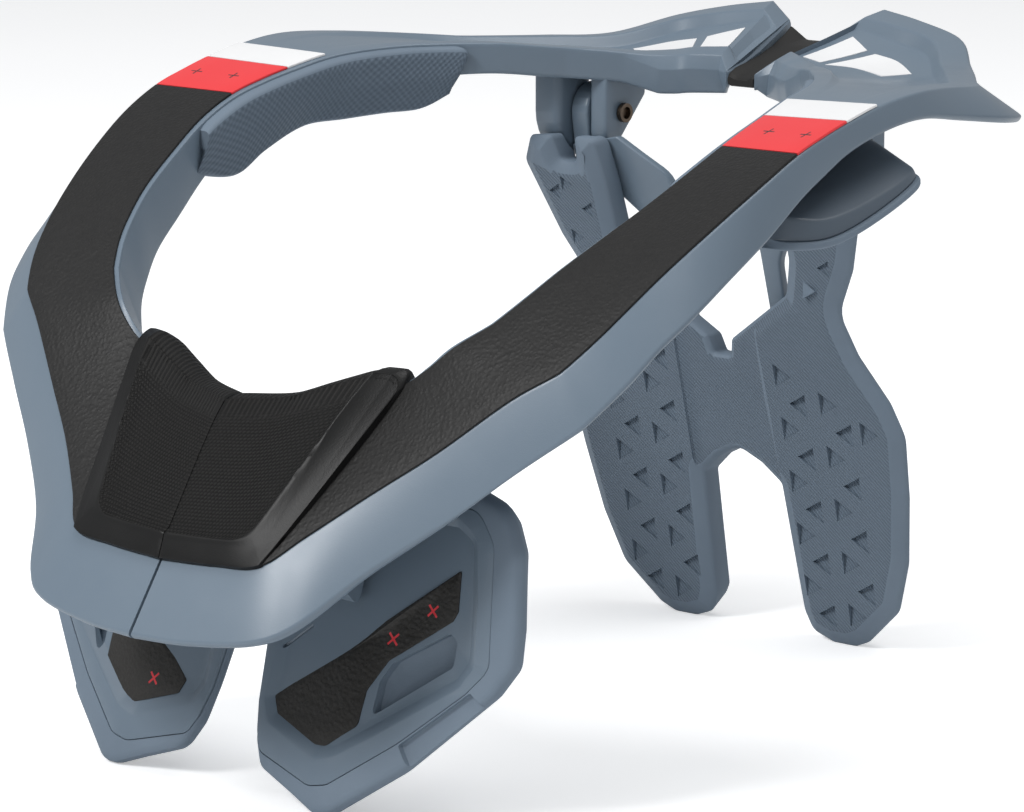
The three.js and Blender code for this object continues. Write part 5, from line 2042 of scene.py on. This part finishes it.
    def pocket_tool(self) -> bpy.types.Object:
        """One tool with every pocket, from a three-sided prism set on points by nodes."""
        points, turns, sizes = [], [], []
        for x, low, points_to, count, size in self.pockets:
            for row in range(count):
                z = low + row * self.pitch
                for side in Side:
                    points.append((side.sign * x * MM, self.face(z) * MM, z * MM))
                    turns.append(0.0 if points_to * side.sign > 0 else math.pi)
                    sizes.append(size)
        mesh = bpy.data.meshes.new("pocket_places")
        mesh.from_pydata(points, [], [])
        for name, values in (("turn", turns), ("size", sizes)):
            mesh.attributes.new(name, "FLOAT", "POINT").data.foreach_set("value", values)
        places = bpy.data.objects.new("pocket_tool", mesh)
        bpy.context.scene.collection.objects.link(places)
        modifier = places.modifiers.new("pockets", "NODES")
        modifier.node_group = PocketTree().build()
        for item in modifier.node_group.interface.items_tree:
            if item.in_out == "INPUT" and item.name in PocketTree.sizes:
                modifier[item.identifier] = PocketTree.sizes[item.name]
        settled(places)
        return places

    def split_finishes(self, pad: bpy.types.Object) -> None:
        """Gives the flat faces the ribbed finish and every edge the smooth one."""
        mesh = pad.data
        layer = mesh.uv_layers.get("surface") or mesh.uv_layers.new(name="surface")
        for polygon in mesh.polygons:
            x, y, z = (value / MM for value in polygon.center)
            depth = y - self.face(z)
            facing, deepest = -0.93, 1.75
            ribbed = polygon.normal.y < facing and depth < deepest and z < self.bare_height
            polygon.material_index = 0 if ribbed else 1
            for loop in polygon.loop_indices:
                place = mesh.vertices[mesh.loops[loop].vertex_index].co
                layer.data[loop].uv = (place.x / MM, place.z / MM)

    def build_strut(self, finishes: Finishes, side: Side) -> None:
        """Builds one strut with its tongue."""
        table = np.array(self.strut_outline)
        draft = Draft()
        start = self.foam + self.strut_gap
        Slab(table[:, :2], table[:, 2], self.behind(start), self.strut, 0.9, 0.9, 5.0).add_to(draft)
        hinge = self.hinge
        arc = circle((hinge.y, hinge.z), self.knuckle, 0, math.pi, 12)
        foot = self.knuckle_foot
        low = self.face(foot) + start
        outline = np.array(arc + [(low, foot), (low + self.knuckle, foot)])
        near = hinge.inner_face + hinge.play
        Slab(outline, 0.5, hinge.across(near), hinge.tongue, 0.8, 0.8, 5.0).add_to(draft)
        strut = draft.make(f"rear_strut_{side.label}", [finishes.moulding], side)
        report(strut, BACK_BODY, "moulded", f"rear_strut_{side.label}")


class PocketTree:
    """The node tree that sets a tapered three-sided prism on every pocket's place."""

    sizes = {"Reach": 4.3 * MM, "Depth": 1.1 * MM, "Stretch": 1.04}

    def build(self) -> bpy.types.NodeTree:
        """Builds the tree with its named inputs."""
        tree = bpy.data.node_groups.new("pockets", "GeometryNodeTree")
        tree.is_modifier = True
        face = tree.interface
        face.new_socket("Geometry", in_out="INPUT", socket_type="NodeSocketGeometry")
        for name in self.sizes:
            face.new_socket(name, in_out="INPUT", socket_type="NodeSocketFloat")
        face.new_socket("Geometry", in_out="OUTPUT", socket_type="NodeSocketGeometry")
        nodes, links = tree.nodes, tree.links
        start = nodes.new("NodeGroupInput")
        end = nodes.new("NodeGroupOutput")
        prism = nodes.new("GeometryNodeMeshCylinder")
        prism.fill_type = "NGON"
        prism.inputs["Vertices"].default_value = 3
        links.new(start.outputs["Reach"], prism.inputs["Radius"])
        double = nodes.new("ShaderNodeMath")
        double.operation = "MULTIPLY"
        double.inputs[1].default_value = 2.0
        links.new(start.outputs["Depth"], double.inputs[0])
        links.new(double.outputs[0], prism.inputs["Depth"])
        lay = nodes.new("GeometryNodeTransform")
        lay.inputs["Rotation"].default_value = (math.pi / 2, 0, 0)
        scale = nodes.new("ShaderNodeCombineXYZ")
        for across in (0, 1):
            scale.inputs[across].default_value = 1.0
        links.new(start.outputs["Stretch"], scale.inputs[2])
        links.new(scale.outputs[0], lay.inputs["Scale"])
        links.new(prism.outputs["Mesh"], lay.inputs["Geometry"])
        put = nodes.new("GeometryNodeInstanceOnPoints")
        links.new(start.outputs["Geometry"], put.inputs["Points"])
        links.new(lay.outputs["Geometry"], put.inputs["Instance"])
        turn = self.read(nodes, "turn")
        around = nodes.new("ShaderNodeCombineXYZ")
        links.new(turn, around.inputs[1])
        links.new(around.outputs[0], put.inputs["Rotation"])
        links.new(self.read(nodes, "size"), put.inputs["Scale"])
        real = nodes.new("GeometryNodeRealizeInstances")
        links.new(put.outputs["Instances"], real.inputs["Geometry"])
        dress = nodes.new("GeometryNodeSetMaterial")
        links.new(real.outputs["Geometry"], dress.inputs["Geometry"])
        links.new(dress.outputs["Geometry"], end.inputs["Geometry"])
        return tree

    @staticmethod
    def read(nodes: bpy.types.Nodes, name: str) -> bpy.types.NodeSocket:
        """The output that reads a point's own number."""
        made = nodes.new("GeometryNodeInputNamedAttribute")
        made.data_type = "FLOAT"
        made.inputs["Name"].default_value = name
        return made.outputs["Attribute"]


# ---- the studio


@dataclass
class Studio:
    """The floor, the lights and the camera.

    Attributes:
        eye, gaze, lens: the camera's place, the way it looks and its focal length.
        surround: strength of the light from all round.
        lamps: name, place, size and power of each area light, all turned to the middle.
    """

    eye: tuple[float, float, float] = (0.81005, -0.92431, 0.32496)
    gaze: tuple[float, float, float] = (-0.64646, 0.73931, -0.18843)
    lens: float = 151.2
    surround: float = 0.4
    middle: Place = (0.0, 0.0, 0.1)
    lamps: tuple[tuple[str, Place, float, float], ...] = (
        ("key", (-0.46, -1.4, 1.38), 0.62, 23.0),
        ("top", (0.5, 0.2, 2.1), 1.2, 19.0),
    )

    def build(self) -> None:
        """Builds the studio."""
        self.build_floor()
        self.build_lights()
        self.build_camera()

    def build_floor(self) -> None:
        """A wide pale floor."""
        mesh = bpy.data.meshes.new("studio_floor")
        reach = 6.0
        corners = [(-reach, -reach, 0), (reach, -reach, 0), (reach, reach, 0), (-reach, reach, 0)]
        mesh.from_pydata(corners, [], [[0, 1, 2, 3]])
        mesh.materials.append(Floor().build())
        floor = bpy.data.objects.new("studio_floor", mesh)
        bpy.context.scene.collection.objects.link(floor)

    def build_lights(self) -> None:
        """Large soft lights and a pale surround."""
        world = bpy.data.worlds.new("studio")
        world.use_nodes = True
        background = world.node_tree.nodes["Background"]
        background.inputs["Color"].default_value = (0.95, 0.97, 1.0, 1.0)
        background.inputs["Strength"].default_value = self.surround
        bpy.context.scene.world = world
        bpy.context.scene.view_settings.view_transform = "Standard"
        for name, place, size, power in self.lamps:
            light = bpy.data.lights.new(name, "AREA")
            light.size = size
            light.energy = power
            lamp = bpy.data.objects.new(name, light)
            lamp.location = place
            way = Vector(self.middle) - Vector(place)
            lamp.rotation_euler = way.to_track_quat("-Z", "Y").to_euler()
            bpy.context.scene.collection.objects.link(lamp)

    def build_camera(self) -> None:
        """The camera at the photograph's angle."""
        camera = bpy.data.cameras.new("camera")
        camera.lens = self.lens
        camera.sensor_width = 36.0
        camera.clip_end = 50
        stand = bpy.data.objects.new("camera", camera)
        stand.location = self.eye
        stand.rotation_euler = Vector(self.gaze).to_track_quat("-Z", "Y").to_euler()
        bpy.context.scene.collection.objects.link(stand)
        bpy.context.scene.camera = stand


def main() -> None:
    """Builds the brace in order."""
    logging.basicConfig(level=logging.INFO, format="%(message)s")
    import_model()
    finishes = Finishes()
    collar = Collar()
    hinge = Hinge(collar)
    collar.build(finishes)
    hinge.build_screws(finishes)
    ChinPad(collar).build(finishes)
    RearBridge(collar).build(finishes)
    ShoulderPad(collar).build(finishes)
    ChestPiece(collar).build(finishes)
    BackUnit(hinge).build(finishes)
    Studio().build()


if __name__ == "__main__":
    main()
